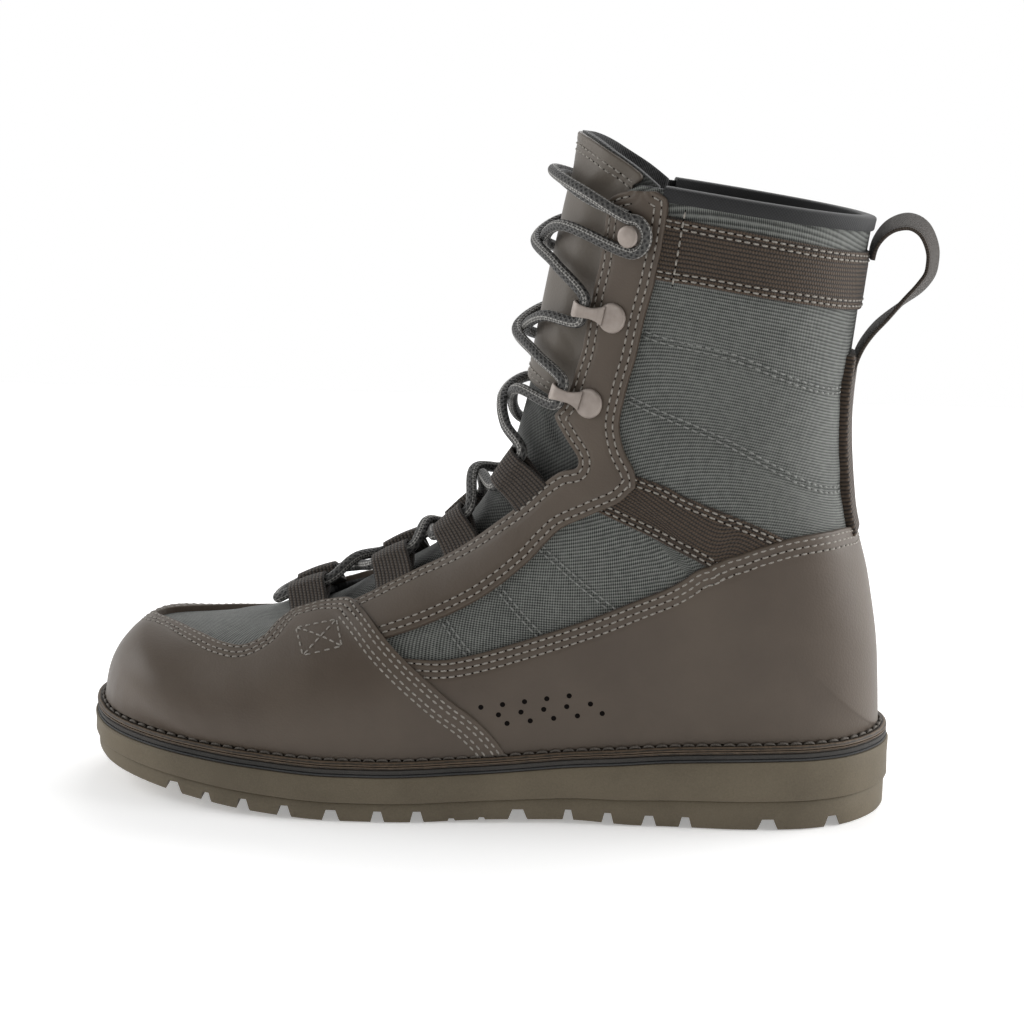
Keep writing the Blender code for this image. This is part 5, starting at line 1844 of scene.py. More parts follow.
@dataclass
class Upper:
    """Fabric shell with its lining, and all that is sewn on it."""

    form: BootForm
    finishes: Finishes
    stitching: Stitching
    shell: float = -0.0010
    wall: float = 0.0026
    throat_end: float = 5.8
    double: float = 0.0019
    puff: float = 0.0006
    sunk: float = 0.0004
    puff_start: float = 7.0
    side_points: int = 62
    throat_points: int = 17
    parts: tuple[tuple[int, int, int], ...] = ((0, 1, 14), (1, 8, 90), (8, COLLAR_STATION, 110))
    rear_rows: tuple[float, ...] = (0.0018, 0.0038, 0.0066, 0.0086)
    drain_radius: float = 0.00096
    drain_lift: float = 0.00118
    drain_sides: int = 16

    def quilt_depth(self, station: Array, around: Array) -> Array:
        """Depth of the pucker along the quilting lines, a Gaussian of the distance to each line.

        Args:
            station: Stations.
            around: Shares around.

        Returns:
            Shares of the full pucker.
        """
        depth = np.zeros(station.shape)
        for line in QUILT_LINES:
            for a, b in zip(line[:-1], line[1:]):
                _, off = off_line(a, b, station, np.abs(around), QUILT_SCALE)
                depth = np.maximum(depth, np.exp(-((off / 0.0030) ** 2)))
        return depth

    def make_shell(self) -> Object:
        """Woven shell, open at the collar, the throat and underneath, with a lining inside.

        Returns:
            The object.
        """
        stations = np.unique(np.concatenate([np.linspace(*part) for part in self.parts]))
        half = half_at(THROAT, stations)
        half = np.where(stations < self.throat_end, 0.04 + (half - 0.04) * stations / self.throat_end, half)
        share = np.linspace(0.0, 1.0, self.side_points)
        side = half[:, None] + (1 - half[:, None]) * share
        centre = half[:, None] * np.linspace(-1, 1, self.throat_points)[None, 1:-1]
        around = np.hstack([-side[:, ::-1], centre, side])
        station = np.broadcast_to(stations[:, None], around.shape)
        puff = self.puff * (1 - self.quilt_depth(station, around)) - self.sunk
        lift = self.shell + np.where(station > self.puff_start, puff, 0.0)
        points = self.form.at(station, around, lift)
        normals = self.form.normal(station, around)
        flat = self.form.flat(station, around)
        middle = around.shape[1] // 2
        across = arc_length(flat, axis=1)
        across = across - across[:, middle : middle + 1]
        uv = np.stack([across, arc_length(flat, axis=0)], -1)
        keep = np.ones((len(stations) - 1, around.shape[1] - 1), bool)
        open_from, open_to = self.side_points - 1, self.side_points + self.throat_points - 2
        keep[stations[:-1] >= self.throat_end - 1e-6, open_from:open_to] = False
        piece = MeshShop.sheet(
            "upper_shell", points, normals, [self.finishes.fabric, self.finishes.lining], uv, keep=keep
        )
        MeshShop.thicken(piece, self.wall)
        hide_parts("upper")
        return piece

    def quilt_rows(self) -> None:
        """Sew the double quilting lines on both sides."""
        for side in (-1, 1):
            for line in QUILT_LINES:
                station, around = along_spots(line, 160)
                around = side * around
                points = self.form.at(station, around, self.shell - 0.0001)
                normals = self.form.normal(station, around)
                across = unit(np.cross(normals, np.gradient(points, axis=0)))
                for offset in (-self.double / 2, self.double / 2):
                    self.stitching.row("cloth_thread", points + across * offset, normals, needle_hole_shades=False)

    def panels(self) -> list[Panel]:
        """All leather and webbing panels of the upper.

        Returns:
            The panels, not yet built.
        """
        moc = tuple(SeamRow("top", offset) for offset in (0.0016, 0.0042, 0.0064))
        fox = tuple(SeamRow("top", offset) for offset in (0.0016, 0.0040, 0.0064))
        band = tuple(SeamRow(edge, offset) for edge in ("foot", "top") for offset in (0.0014, 0.0034))
        stay = tuple(SeamRow(edge, offset) for edge in ("foot", "top") for offset in (0.0020, 0.0046))
        made = [
            Vamp(
                "vamp", ("vamp",), VAMP, Join.START, base=vamp_base, thickness=0.0023,
                rolled=("top", "end"), rows=moc, skirt=0.0012,
            ),
            Panel("counter", ("counter",), COUNTER, Join.END, rolled=("top",), rows=fox),
            Panel(
                "collar_band", ("collar_band",), COLLAR_BAND, Join.END, thickness=0.0016,
                rows=band, slot="webbing", thread="thread", rolled=("foot", "top"), groove=0.0002,
            ),
            Panel(
                "back_strap", ("back_strap",), BACK_STRAP, Join.END, thickness=0.0034, radius=0.0011,
                slot="webbing", rolled=("foot", "top", "start"),
            ),
        ]
        for side in Side:
            label = side.name.lower()
            made.append(
                Panel(
                    "eyestay_" + label, ("eyestay_" + label,), EYESTAY, side=side.value,
                    base=-0.0009, rows=stay, pitch=0.0010,
                )
            )
            made.append(
                Panel(
                    "side_strap_" + label, ("side_strap_" + label,), SIDE_STRAP, side=side.value,
                    thickness=0.0014, rows=band, slot="webbing", rolled=("foot", "top"), groove=0.0002,
                )
            )
        return made

    def vamp_rear(self) -> None:
        """Sew the four rows along the vamp's rear edge, and the crossed box tacks."""
        lift = 0.0014
        station, share = along_spots(VAMP_REAR, 300)
        for side in (-1, 1):
            around = side * share
            ahead = self.form.flat(station - 0.1, around)
            for offset in self.rear_rows:
                row_s, row_a = self.form.parallel(station, around, offset, ahead)
                points = self.form.at(row_s, row_a, lift + 0.0008 + vamp_base(row_s, row_a))
                self.stitching.row("thread", points, self.form.normal(row_s, row_a))
            self.box_tack(side, lift)

    def box_tack(self, side: int, lift: float) -> None:
        """Sew one crossed box on the vamp, its corners as on the photo.

        Args:
            side: Sign of the side.
            lift: Lift of the thread.
        """
        share = np.linspace(0.0, 1.0, 30)
        for first, last in ((0, 1), (1, 2), (2, 3), (3, 0), (0, 2), (1, 3)):
            a, b = BOX_TACK[first], BOX_TACK[last]
            station = a.station + (b.station - a.station) * share
            around = side * (a.around + (b.around - a.around) * share)
            points = self.form.at(station, around, lift + 0.0001)
            self.stitching.row("thread", points, self.form.normal(station, around), needle_hole_shades=False)

    def drain_holes(self) -> Object:
        """Drain holes in three slanting rows of five on each side: dark discs on the surface, painted shade
        of the holes.

        Returns:
            The object.
        """
        sides = self.drain_sides
        turn = np.linspace(0, 2 * np.pi, sides, endpoint=False)
        rings, outward = [], []
        for side in (-1, 1):
            for row in range(3):
                for column in range(5):
                    station = DRAIN_FIRST.station + DRAIN_COLUMN.station * column + DRAIN_ROW.station * row
                    station = station + (0.05 if row == 1 else 0.0)
                    place = DRAIN_FIRST.around + DRAIN_COLUMN.around * column + DRAIN_ROW.around * row
                    around = side * place
                    normal = self.form.normal(station, around)
                    origin = self.form.at(station, around, self.drain_lift)
                    way = unit(np.cross(normal, np.array([0.0, 0.0, 1.0])))
                    across = np.cross(normal, way)
                    ring = way * np.cos(turn)[:, None] + across * np.sin(turn)[:, None]
                    rings.append(origin + ring * self.drain_radius)
                    outward.append(np.repeat(normal[None], sides, 0))
        points = np.array(rings)
        fan = np.array([[0, k, k + 1, k + 2] for k in range(1, sides - 2, 2)])
        base = np.arange(len(points))[:, None, None] * sides
        faces = (fan[None] + base).reshape(-1, 4)
        flip = []
        for block in range(len(points)):
            part = faces[block * len(fan) : (block + 1) * len(fan)]
            flip.append(MeshShop.faced(points, part, np.array(outward)))
        return MeshShop.add("drain_holes", points, np.vstack(flip), [self.finishes.hole_shade])

    def make_binding(self) -> Object:
        """Binding folded over the collar: a rounded U carried round from one facing to the other.

        Returns:
            The object.
        """
        share = np.linspace(0.372, 1.0, 90)
        around = np.concatenate([-share, share[:-1][::-1]])
        out, inn = self.shell + 0.0004, self.shell - self.wall - 0.0006
        thick, depth = 0.0010, 0.0038
        turn = np.linspace(0, np.pi, 9)
        middle, half = (out + inn) / 2, (out - inn) / 2 + thick
        crown = [(0.0002 + 0.0012 * np.sin(t), middle + half * np.cos(t)) for t in turn]
        profile = [(-depth, out), (-depth - 0.0001, out + thick * 0.7), (-depth + 0.0004, out + thick)]
        profile += crown
        profile += [(-depth, inn - thick), (-depth, inn), (0.0002, inn), (0.0002, out)]
        ups, lifts = np.array(profile).T
        station = np.full_like(around, COLLAR_STATION)
        normal = self.form.normal(station, around)
        above = self.form.flat(station + 0.08, around)
        along = above - self.form.flat(station - 0.08, around)
        along = unit(along - normal * (along * normal).sum(1)[:, None])
        base = self.form.flat(station, around)
        rings = base[:, None] + normal[:, None] * lifts[None, :, None] + along[:, None] * ups[None, :, None]
        walked = arc_length(base)
        uv = np.stack(np.broadcast_arrays(walked[:, None], arc_length(np.array(profile))[None]), -1)
        piece = MeshShop.sweep("collar_binding", rings, [self.finishes.binding], uv)
        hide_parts("collar_binding")
        return piece

    def band_tack(self) -> None:
        """Sew the upright row across the collar band beside each facing."""
        share = np.linspace(0, 1, 60)
        for side in (-1, 1):
            station = 17.66 + (16.20 - 17.66) * share
            around = side * (0.428 - 0.008 * share)
            points = self.form.at(station, around, 0.0006)
            self.stitching.row("thread", points, self.form.normal(station, around))

    def build(self) -> None:
        """Make the shell and all that is sewn on it."""
        self.make_shell()
        self.quilt_rows()
        for panel in self.panels():
            panel.build(self.form, self.finishes, self.stitching)
        self.vamp_rear()
        self.band_tack()
        self.drain_holes()
        self.make_binding()
        log.info("upper: shell, panels, drain holes and binding")


@dataclass
class Tongue:
    """Gusseted fabric tongue with leather on its upper half."""

    form: BootForm
    finishes: Finishes
    stitching: Stitching
    shell: float = -0.0010
    wall: float = 0.0026
    raised: float = -0.0022
    thick: float = 0.0028
    leather: float = 0.0016
    foot: float = 5.35
    top: float = 18.97
    drop: float = 0.95
    leather_foot: float = 11.50
    leather_top: float = 18.94
    leather_drop: float = 0.90
    roundness: float = 2.6

    def lift(self, station: Array, around: Array) -> Array:
        """Lift of the tongue's face: under the shell at its edges, up in the throat.

        Args:
            station: Stations.
            around: Shares around.

        Returns:
            Lifts.
        """
        under = self.shell - self.wall - 0.0007
        narrow = [half_at(THROAT, station + shift) for shift in (-0.35, -0.15, 0.0, 0.15, 0.35)]
        half = np.where(station < COLLAR_STATION + 0.2, np.min(narrow, 0), 0.30)
        rise = 1 - smooth_step(0.60, 0.93, np.abs(around) / half)
        rise = rise * smooth_step(5.95, 6.7, station)
        return under + (self.raised - under) * rise

    def build(self) -> None:
        """Make the tongue and its leather."""
        share = np.linspace(-1, 1, 71)
        along = np.linspace(0, 1, 170)[:, None]
        top = self.top - self.drop * np.abs(share) ** self.roundness
        station = self.foot + (top - self.foot) * along
        around = half_at(TONGUE, station) * share
        lift = self.lift(station, around)
        points = self.form.at(station, around, lift)
        flat = self.form.flat(station, around)
        across = arc_length(flat, axis=1)
        uv = np.stack([across - across[:, 35:36], arc_length(flat, axis=0)], -1)
        piece = MeshShop.sheet(
            "tongue_body", points, self.form.normal(station, around),
            [self.finishes.tongue_fabric, self.finishes.lining], uv,
        )
        MeshShop.thicken(piece, self.thick)
        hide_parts("tongue")
        self.facing()
        log.info("tongue: body and leather")

    def facing(self) -> None:
        """Leather on the tongue from above the instep to its top, sewn twice along both ends."""
        places = np.linspace(-1, 1, 21)
        cuts = []
        for place in places:
            start = self.leather_foot + 0.50 * place**2
            top = self.leather_top - self.leather_drop * abs(place) ** self.roundness
            cuts.append(Cut(start, place, top, place))
        panel = TongueLeather(
            "tongue_leather", ("tongue_facing",), tuple(cuts), Join.NONE, side=1,
            thickness=self.leather, base=self.lift, slot="tongue_leather",
            rows=(
                SeamRow("top", 0.0042, 0.05, 0.95), SeamRow("top", 0.0064, 0.06, 0.94),
                SeamRow("foot", 0.0022, 0.08, 0.92), SeamRow("foot", 0.0044, 0.08, 0.92),
            ),
        )
        panel.build(self.form, self.finishes, self.stitching)


@dataclass
class TongueLeather(Panel):
    """Panel that keeps inside the throat's edges below the collar, and near the tongue's own over it."""

    held: float = 17.3
    tuck: float = 0.012
    tuck_more: float = 0.03
    inset: float = 0.006

    def place(self, q: Array, p: Array) -> tuple[Array, Array]:
        """Station and around, the way across held to the throat's half width by station.

        Args:
            q: Shares along, from one side to the other.
            p: Shares from foot to top.

        Returns:
            Stations and shares around.
        """
        station, _ = super().place(q, p)
        share = np.broadcast_to(np.asarray(q, float) * 2 - 1, station.shape)
        inside = half_at(THROAT, np.minimum(station, self.held)) + self.tuck
        inside = inside + self.tuck_more * smooth_step(16.9, 17.5, station)
        edge = half_at(TONGUE, station) - self.inset
        wide = inside + (edge - inside) * smooth_step(17.92, 18.30, station)
        return station, share * wide


@dataclass
class Sole:
    """Outsole, midsole, welt and footbed."""

    plan: SolePlan
    finishes: Finishes
    stitching: Stitching
    step: float = 0.0010
    step_up: float = 0.42
    steps: int = 180
    upper_inset: float = 0.0108
    sharp: float = 38.0

    def ring(self, inset: float | Array, height: Callable[[Array], Array]) -> Array:
        """Ring of points at an inset from the sole edge, on a height that depends on X."""
        ring = self.plan.outline(inset, self.steps)
        return self.plan.place(np.column_stack([ring, height(ring[:, 0])]))

    def stack(
        self,
        name: str,
        levels: Sequence[tuple[float, Callable[[Array], Array]]],
        materials: Sequence[Material],
        hollow: bool = False,
        layers: Sequence[float] | None = None,
        slots: Sequence[int] | None = None,
    ) -> Object:
        """Solid from rings at insets and heights, with ladder caps or hollow.

        Args:
            name: Name of the piece.
            levels: Inset and height function of each ring, from below.
            materials: Finishes, by slot.
            hollow: Whether the last ring joins the first in place of caps.
            layers: Layer mark of each ring.
            slots: Finish slot of the wall over each ring.

        Returns:
            The object.
        """
        rings = np.array([self.ring(inset, height) for inset, height in levels])
        count = rings.shape[1]
        faces = MeshShop.quads(len(rings), count, close_rows=hollow, close_columns=True)
        index = np.zeros(len(faces), int)
        if slots is not None:
            index = np.repeat(np.asarray(slots)[: len(faces) // count], count)
        if not hollow:
            k = np.arange(1, self.steps - 1)
            ladder = np.stack([k, k + 1, count - k - 1, count - k], 1)
            toe = self.steps
            tips = np.array([[0, 1, 1, count - 1], [toe, toe + 1, toe + 1, toe - 1]])
            low = np.vstack([ladder, tips])
            high = (low + (len(rings) - 1) * count)[:, ::-1]
            faces = np.vstack([faces, low, high])
            index = np.concatenate([index, np.zeros(len(low) + len(high), int)])
        points = rings.reshape(-1, 3)
        faces = MeshShop.solid(points, faces)
        marks = {"layer": np.repeat(np.asarray(layers, float), count)} if layers else None
        return MeshShop.add(name, points, faces, materials, points[:, :2], marks, self.sharp, index)

    def tread_cutter(self) -> Object:
        """Chevron bars, narrower at the top, that cut the grooves of the tread.

        Returns:
            The object, to be cut away.
        """
        reach = self.plan.ball_width * 0.62
        blocks, faces = [], []
        for groove in GROOVES:
            x = self.plan.heel_x - self.plan.length * groove.along
            start = len(blocks)
            for y, shift in ((-reach, 0.0), (0.0, -0.006), (reach, 0.0)):
                for side in (-1, 1):
                    place = x + shift
                    floor = float(self.plan.tread(np.array(place)))
                    blocks.append((place + side * groove.width * 0.62, y, floor - 0.002))
                    blocks.append((place + side * groove.width * 0.27, y, floor + groove.depth))
            for low in (start, start + 4):
                high = low + 4
                faces += [
                    (low, low + 1, high + 1, high),
                    (low + 2, high + 2, high + 3, low + 3),
                    (low, high, high + 2, low + 2),
                    (low + 1, low + 3, high + 3, high + 1),
                ]
            faces.append((start, start + 2, start + 3, start + 1))
            faces.append((start + 8, start + 9, start + 11, start + 10))
        mesh = bpy.data.meshes.new("tread_cutter")
        points = self.plan.place(np.array(blocks))
        mesh.from_pydata(points.tolist(), [], faces)
        return put("tread_cutter", mesh)

    def outsole(self) -> Object:
        """Rubber sole with its side step, grooved by chevron bars and softly bevelled.

        Returns:
            The object.
        """
        plan, step = self.plan, self.step

        def at(share: float, rise: float = 0.0) -> Callable[[Array], Array]:
            """Height at a share of the outsole's thickness, raised a little."""
            return lambda x: plan.tread(x) + (plan.outsole_top(x) - plan.tread(x)) * share + rise

        levels = (
            (step + 0.0016, at(0.0)),
            (step + 0.0007, at(0.0, 0.0003)),
            (step + 0.0001, at(0.0, 0.0013)),
            (step, at(self.step_up, -0.0006)),
            (step + 0.0004, at(self.step_up)),
            (0.0003, at(self.step_up, 0.0005)),
            (0.0, at(self.step_up, 0.0012)),
            (0.0002, at(0.75)),
            (0.0, at(1.0, -0.0008)),
            (0.0004, at(1.0, -0.0002)),
            (0.0012, at(1.0)),
        )
        piece = self.stack("outsole_tread", levels, [self.finishes.outsole])
        cutter = self.tread_cutter()
        cut = piece.modifiers.new("grooves", "BOOLEAN")
        cut.operation = "DIFFERENCE"
        cut.solver = "EXACT"
        cut.object = cutter
        graph = bpy.context.evaluated_depsgraph_get()
        mesh = bpy.data.meshes.new_from_object(piece.evaluated_get(graph))
        piece.modifiers.clear()
        piece.data = mesh
        bpy.data.objects.remove(cutter)
        MeshShop.soften(mesh, self.sharp)
        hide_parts("outsole")
        return piece

    def build(self) -> None:
        """Make all layers under the foot and sew the welt."""
        plan = self.plan
        self.outsole()
        inset = plan.midsole_inset

        def over(base: Callable[[Array], Array], rise: float) -> Callable[[Array], Array]:
            """Height a little over another one."""
            return lambda x: base(x) + rise

        mid = self.stack(
            "midsole_layer",
            (
                (inset + 0.0004, over(plan.outsole_top, 0.0)),
                (inset - 0.0002, over(plan.outsole_top, 0.0002)),
                (inset - 0.0002, over(plan.outsole_top, 0.0008)),
                (inset + 0.0004, over(plan.outsole_top, 0.0010)),
                (inset, over(plan.outsole_top, 0.0013)),
                (inset, over(plan.midsole_top, -0.0002)),
                (inset + 0.0006, over(plan.midsole_top, 0.0002)),
            ),
            [self.finishes.midsole, self.finishes.rand],
            # Slot 1, the lighter grey, on the three lowest bands: painted highlight on the lower bevel.
            slots=(1, 1, 1, 0, 0, 0),
        )
        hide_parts("midsole")
        top = plan.welt_top
        base = over(plan.midsole_top, 0.0001)
        thick = plan.welt_thick
        levels = (
            (inset + 0.0006, base),
            (inset, over(base, 0.0004)),
            (inset - 0.0001, over(base, 0.42 * thick)),
            (inset + 0.0004, over(base, 0.50 * thick)),
            (inset - 0.0001, over(base, 0.58 * thick)),
            (inset + 0.0001, over(top, -0.0006)),
            (inset + 0.0007, over(top, -0.0001)),
            (inset + 0.0012, over(top, 0.0)),
            (inset + 0.0018, over(top, -0.0003)),
            (inset + 0.0030, over(top, -0.0003)),
            (inset + 0.0036, over(top, 0.0)),
            (plan.welt_width, over(top, 0.0)),
            (plan.welt_width, base),
        )
        marks = (0.0, 0.1, 0.35, 0.5, 0.6, 0.85, 1.0, 1.1, 1.15, 1.2, 1.25, 1.6, 1.7)
        welt = self.stack("welt_strip", levels, [self.finishes.welt], hollow=True, layers=marks)
        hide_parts("welt")
        self.welt_stitches()
        narrow = plan.welt_width + 0.0006
        bed = self.stack(
            "footbed",
            (
                (narrow, over(plan.midsole_top, 0.0003)),
                (narrow, plan.seat),
                (self.upper_inset, plan.seat),
                (self.upper_inset, over(plan.seat, 0.0035)),
                (self.upper_inset + 0.0010, over(plan.seat, 0.0045)),
            ),
            [self.finishes.insole],
        )
        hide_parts("insole")
        log.info("sole: outsole, midsole, welt and footbed")

    def welt_stitches(self) -> None:
        """Sew the welt with long heavy stitches in its groove, all the way round."""
        ring = self.ring(self.plan.midsole_inset + 0.0024, lambda x: self.plan.welt_top(x) + 0.0001)
        ring = np.vstack([ring, ring[:1]])
        up = np.tile([0.0, 0.0, 1.0], (len(ring), 1))
        self.stitching.row("welt_thread", ring, up, 0.0049, 0.0043, 0.00062, needle_hole_shades=False)


@dataclass
class Lacing:
    """Webbing loops, speed hooks, studs and the lace that runs through them."""

    form: BootForm
    finishes: Finishes
    radius: float = 0.00205
    lift: float = 0.0050
    loop_lift: float = 0.0047
    loop_length: float = 0.0155
    loop_bases: tuple[float, ...] = (0.255, 0.275, 0.262, 0.262)
    hook_bend: float = 0.0030
    hook_reach: float = 0.0112
    hook_height: float = 0.0026
    hook_drop: float = 0.42
    wrap: float = 0.0061
    over: float = 0.0017
    sags: tuple[float, ...] = (0.0, 0.0, 0.0, 0.1, 0.70, 0.85)

    def make_loop(self, index: int, spot: Spot, side: int) -> Object:
        """Webbing folded round the lace: a teardrop strap from under the facing and back.

        Args:
            index: Number of the loop from the toe.
            spot: Its middle.
            side: Sign of the side.

        Returns:
            The object.
        """
        form, base = self.form, self.loop_bases[index]
        _, _, along, _ = form.frame(spot, side, self.loop_lift)
        here = form.flat(spot.station, side * spot.around)
        per_station = np.linalg.norm(form.flat(spot.station + 0.1, side * spot.around) - here) * 10
        per_around = np.linalg.norm(form.flat(spot.station, side * (spot.around + 0.02)) - here) * 50
        root = (base - spot.around) * per_around * 1000
        shape = np.array([
            (root, -4.3), (root - 3.4, -3.6), (3.6, 0.3), (1.2, 2.4), (-2.0, 3.0), (-4.7, 1.7),
            (-5.1, -0.8), (-3.2, -3.0), (1.0, -4.4), (root - 4.0, -5.0), (root, -5.1),
        ]) / 1000
        knots = np.linspace(0, 1, len(shape))
        share = np.linspace(0, 1, 60)
        u = curve(knots, shape[:, 0], share)
        h = curve(knots, shape[:, 1], share)
        width = np.linspace(-0.5, 0.5, 17) * self.loop_length
        bow = 0.0005 * np.cos(width / self.loop_length * np.pi)
        station = spot.station + width[None] / per_station
        around = side * (spot.around + u[:, None] / per_around)
        height = self.loop_lift + h[:, None] + bow[None] * np.sin(np.pi * share)[:, None]
        points = form.at(station, around, height)
        step = np.gradient(points, axis=0)
        outward = np.cross(step, np.broadcast_to(along, points.shape))
        middle = points.mean((0, 1))
        outward *= np.sign(((points - middle) * outward).sum())
        uv = np.stack(np.broadcast_arrays(arc_length(points[:, 8])[:, None], width[None]), -1)
        name = f"loop_{index + 1}_{Side(side).name.lower()}"
        piece = MeshShop.sheet(name, points, outward, [self.finishes.loop_web], uv)
        MeshShop.thicken(piece, 0.0011, lined=False)
        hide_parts(f"lace_{name}")
        return piece

    def hook_frame(self, spot: Spot, side: int) -> tuple[Array, Array, Array, Array]:
        """Base of a hook with its normal, the way its arm points, and the way across it.

        Args:
            spot: Middle of its disc.
            side: Sign of the side.

        Returns:
            Base, normal, way of the arm and way across.
        """
        lift = 0.0013
        origin, normal, _, _ = self.form.frame(spot, side, lift)
        toward = self.form.at(spot.station - 0.55, side * (spot.around - 0.105), lift, False) - origin
        toward = unit(toward - normal * (toward @ normal))
        return origin, normal, toward, np.cross(normal, toward)

    def make_hook(self, index: int, spot: Spot, side: int) -> Object:
        """Speed hook: a keyhole plate that rises from its disc and curls under the lace.

        Args:
            index: Number of the hook from below.
            spot: Middle of its disc.
            side: Sign of the side.

        Returns:
            The object.
        """
        origin, normal, toward, across = self.hook_frame(spot, side)
        bend, reach, middle = self.hook_bend, self.hook_reach, self.hook_height
        turn = np.radians(np.linspace(90, -90, 17))
        rise = [0.0016, 0.0024, 0.0042, middle + bend - 0.0003]
        out = np.concatenate([HOOK_RISE, reach + bend * np.cos(turn), [reach - 0.0012]])
        up = np.concatenate([rise, middle + bend * np.sin(turn), [middle - bend]])
        walked = arc_length(np.column_stack([out, up]))
        places = np.linspace(0, walked[-1], 44)
        out, up = np.interp(places, walked, out), np.interp(places, walked, up)
        share = places / places[-1]
        width = curve(*zip(*HOOK_WIDTHS), share)
        path = origin + out[:, None] * toward + up[:, None] * normal
        step = unit(np.gradient(path, axis=0))
        face = np.cross(step, across)
        t = np.linspace(0, 2 * np.pi, 24, endpoint=False)
        wide = np.sign(np.cos(t)) * np.abs(np.cos(t)) ** 0.3
        thin = np.sign(np.sin(t)) * np.abs(np.sin(t)) ** 0.6
        rings = (
            path[:, None]
            + across * (wide[None, :, None] * width[:, None, None] / 2)
            + face[:, None] * (thin[None, :, None] * 0.00058)
        )
        arm = MeshShop.sweep(f"hook_arm_{index}_{Side(side).name.lower()}", rings, [self.finishes.metal])
        disc = self.lathe(f"hook_{index}_{Side(side).name.lower()}_plate", origin, normal, toward, HOOK_DISC)
        kind = ("lower", "upper")[index]
        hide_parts(f"hook_{kind}_{Side(side).name.lower()}")
        return disc

    def lathe(
        self, name: str, origin: Array, normal: Array, along: Array, profile: Sequence[tuple[float, float]]
    ) -> Object:
        """Solid turned round a normal, from pairs of radius and height.

        Args:
            name: Name of the piece.
            origin: Middle of its base.
            normal: Way up.
            along: Way to its first spoke.
            profile: Pairs of radius and height.

        Returns:
            The object.
        """
        across = np.cross(normal, along)
        turn = np.linspace(0, 2 * np.pi, 48, endpoint=False)
        spokes = along * np.cos(turn)[:, None] + across * np.sin(turn)[:, None]
        radius, height = np.array(profile).T
        radius = np.maximum(radius, 1e-5)
        rings = origin + spokes[None] * radius[:, None, None] + normal * height[:, None, None]
        return MeshShop.sweep(name, rings, [self.finishes.metal], sharp=35)

    def make_stud(self, side: int) -> Object:
        """Lace stud: base, neck and domed cap.

        Args:
            side: Sign of the side.

        Returns:
            The object.
        """
        origin, normal, along, _ = self.form.frame(STUD, side, 0.0013)
        label = Side(side).name.lower()
        piece = self.lathe(f"lace_stud_{label}", origin, normal, along, STUD_PROFILE)
        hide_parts(f"stud_{label}")
        return piece

    def passing(self, row: int, side: int) -> list[Array]:
        """Points of the lace through a loop or a hook, from below.

        Args:
            row: Number of the loop or hook from the toe.
            side: Sign of the side.

        Returns:
            Three points.
        """
        spots = LOOPS + HOOKS
        spot = spots[row]
        if row < len(LOOPS):
            origin, normal, along, across = self.form.frame(spot, side, self.loop_lift)
            middle = origin - across * side * 0.0021 - normal * 0.0003
            reach = along * self.loop_length * 0.56
            return [middle - reach, middle, middle + reach]
        origin, normal, toward, across = self.hook_frame(spot, side)
        _, _, along, _ = self.form.frame(spot, side)
        across = across * np.sign(across @ along)
        middle = origin + toward * (self.hook_reach - 0.0002) + normal * self.hook_height
        return [middle - across * 0.0042, middle, middle + across * 0.0042]

    def half(self, side: int, first: bool) -> tuple[list[Array], int]:
        """Key points of one half of the lace, from the lowest loops up to its stud.

        Args:
            side: Side on which this half starts.
            first: Whether this half also holds the bar between the lowest loops.

        Returns:
            Key points, and the side on which the half ends.
        """
        form, spots = self.form, LOOPS + HOOKS
        keys: list[Array] = []
        low = LOOPS[0].station - 0.46
        if first:
            keys += [
                self.passing(0, -side)[0],
                form.at(low, -side * 0.09, 0.0036),
                form.at(low - 0.04, 0.0, 0.0034),
                form.at(low, side * 0.09, 0.0036),
            ]
        for count, spot in enumerate(spots):
            keys += self.passing(count, side)
            above = spots[count + 1] if count + 1 < len(spots) else STUD
            start = spot.station - (self.hook_drop if spot in HOOKS else 0.0)
            end = above.station - (self.hook_drop if above in HOOKS else 0.0)
            swing = self.over if (count % 2 == 0) == first else -self.over
            for share, across in ((0.3, 0.45), (0.5, 0.0), (0.7, -0.45)):
                if count >= 3 or across == 0.0:
                    bonus = swing if across == 0.0 else 0.3 * swing
                    sag = self.sags[count] * (1 - abs(across)) ** 1.6
                    around = side * spot.around * across
                    keys.append(form.at(start + (end - start) * share - sag, around, self.lift + bonus))
            side = -side
        origin, normal, along, across = form.frame(STUD, side, 0.0013)
        ring = self.wrap
        for turned in np.radians(WRAP_ANGLES):
            spoke = along * np.cos(turned) + side * across * np.sin(turned)
            keys.append(origin + normal * 0.0030 + ring * spoke)
        rise = 0.0014 if first else -0.0014
        shift = 0.12 if first else -0.10
        keys += [form.at(spot.station + shift, side * spot.around, self.lift + rise) for spot in OVER_TONGUE]
        origin, normal, along, across = form.frame(STUD, -side, 0.0013)
        high = 0.0060 if first else 0.0024
        keys.append(origin + normal * high + along * (ring + 0.0006) + across * side * 0.002)
        return keys, side

    @staticmethod
    def smooth(keys: Sequence[Array], step: float) -> Array:
        """Even steps along a cubic curve through key points, with centripetal spacing.

        Args:
            keys: Points that the curve passes.
            step: Length of a step.

        Returns:
            Points of the path.
        """
        points = np.array(keys)
        chord = np.concatenate([[0.0], np.cumsum(np.sqrt(np.linalg.norm(np.diff(points, axis=0), axis=1)))])
        slopes = np.gradient(points, chord, axis=0)
        fine = np.linspace(0, chord[-1], 60 * len(points))
        left = np.clip(np.searchsorted(chord, fine, side="right") - 1, 0, len(points) - 2)
        span = (chord[left + 1] - chord[left])[:, None]
        path = hermite((fine - chord[left])[:, None] / span, span, left, points, slopes)
        walked = arc_length(path)
        places = np.linspace(0, walked[-1], int(walked[-1] / step) + 1)
        return read_line(places, walked, path)

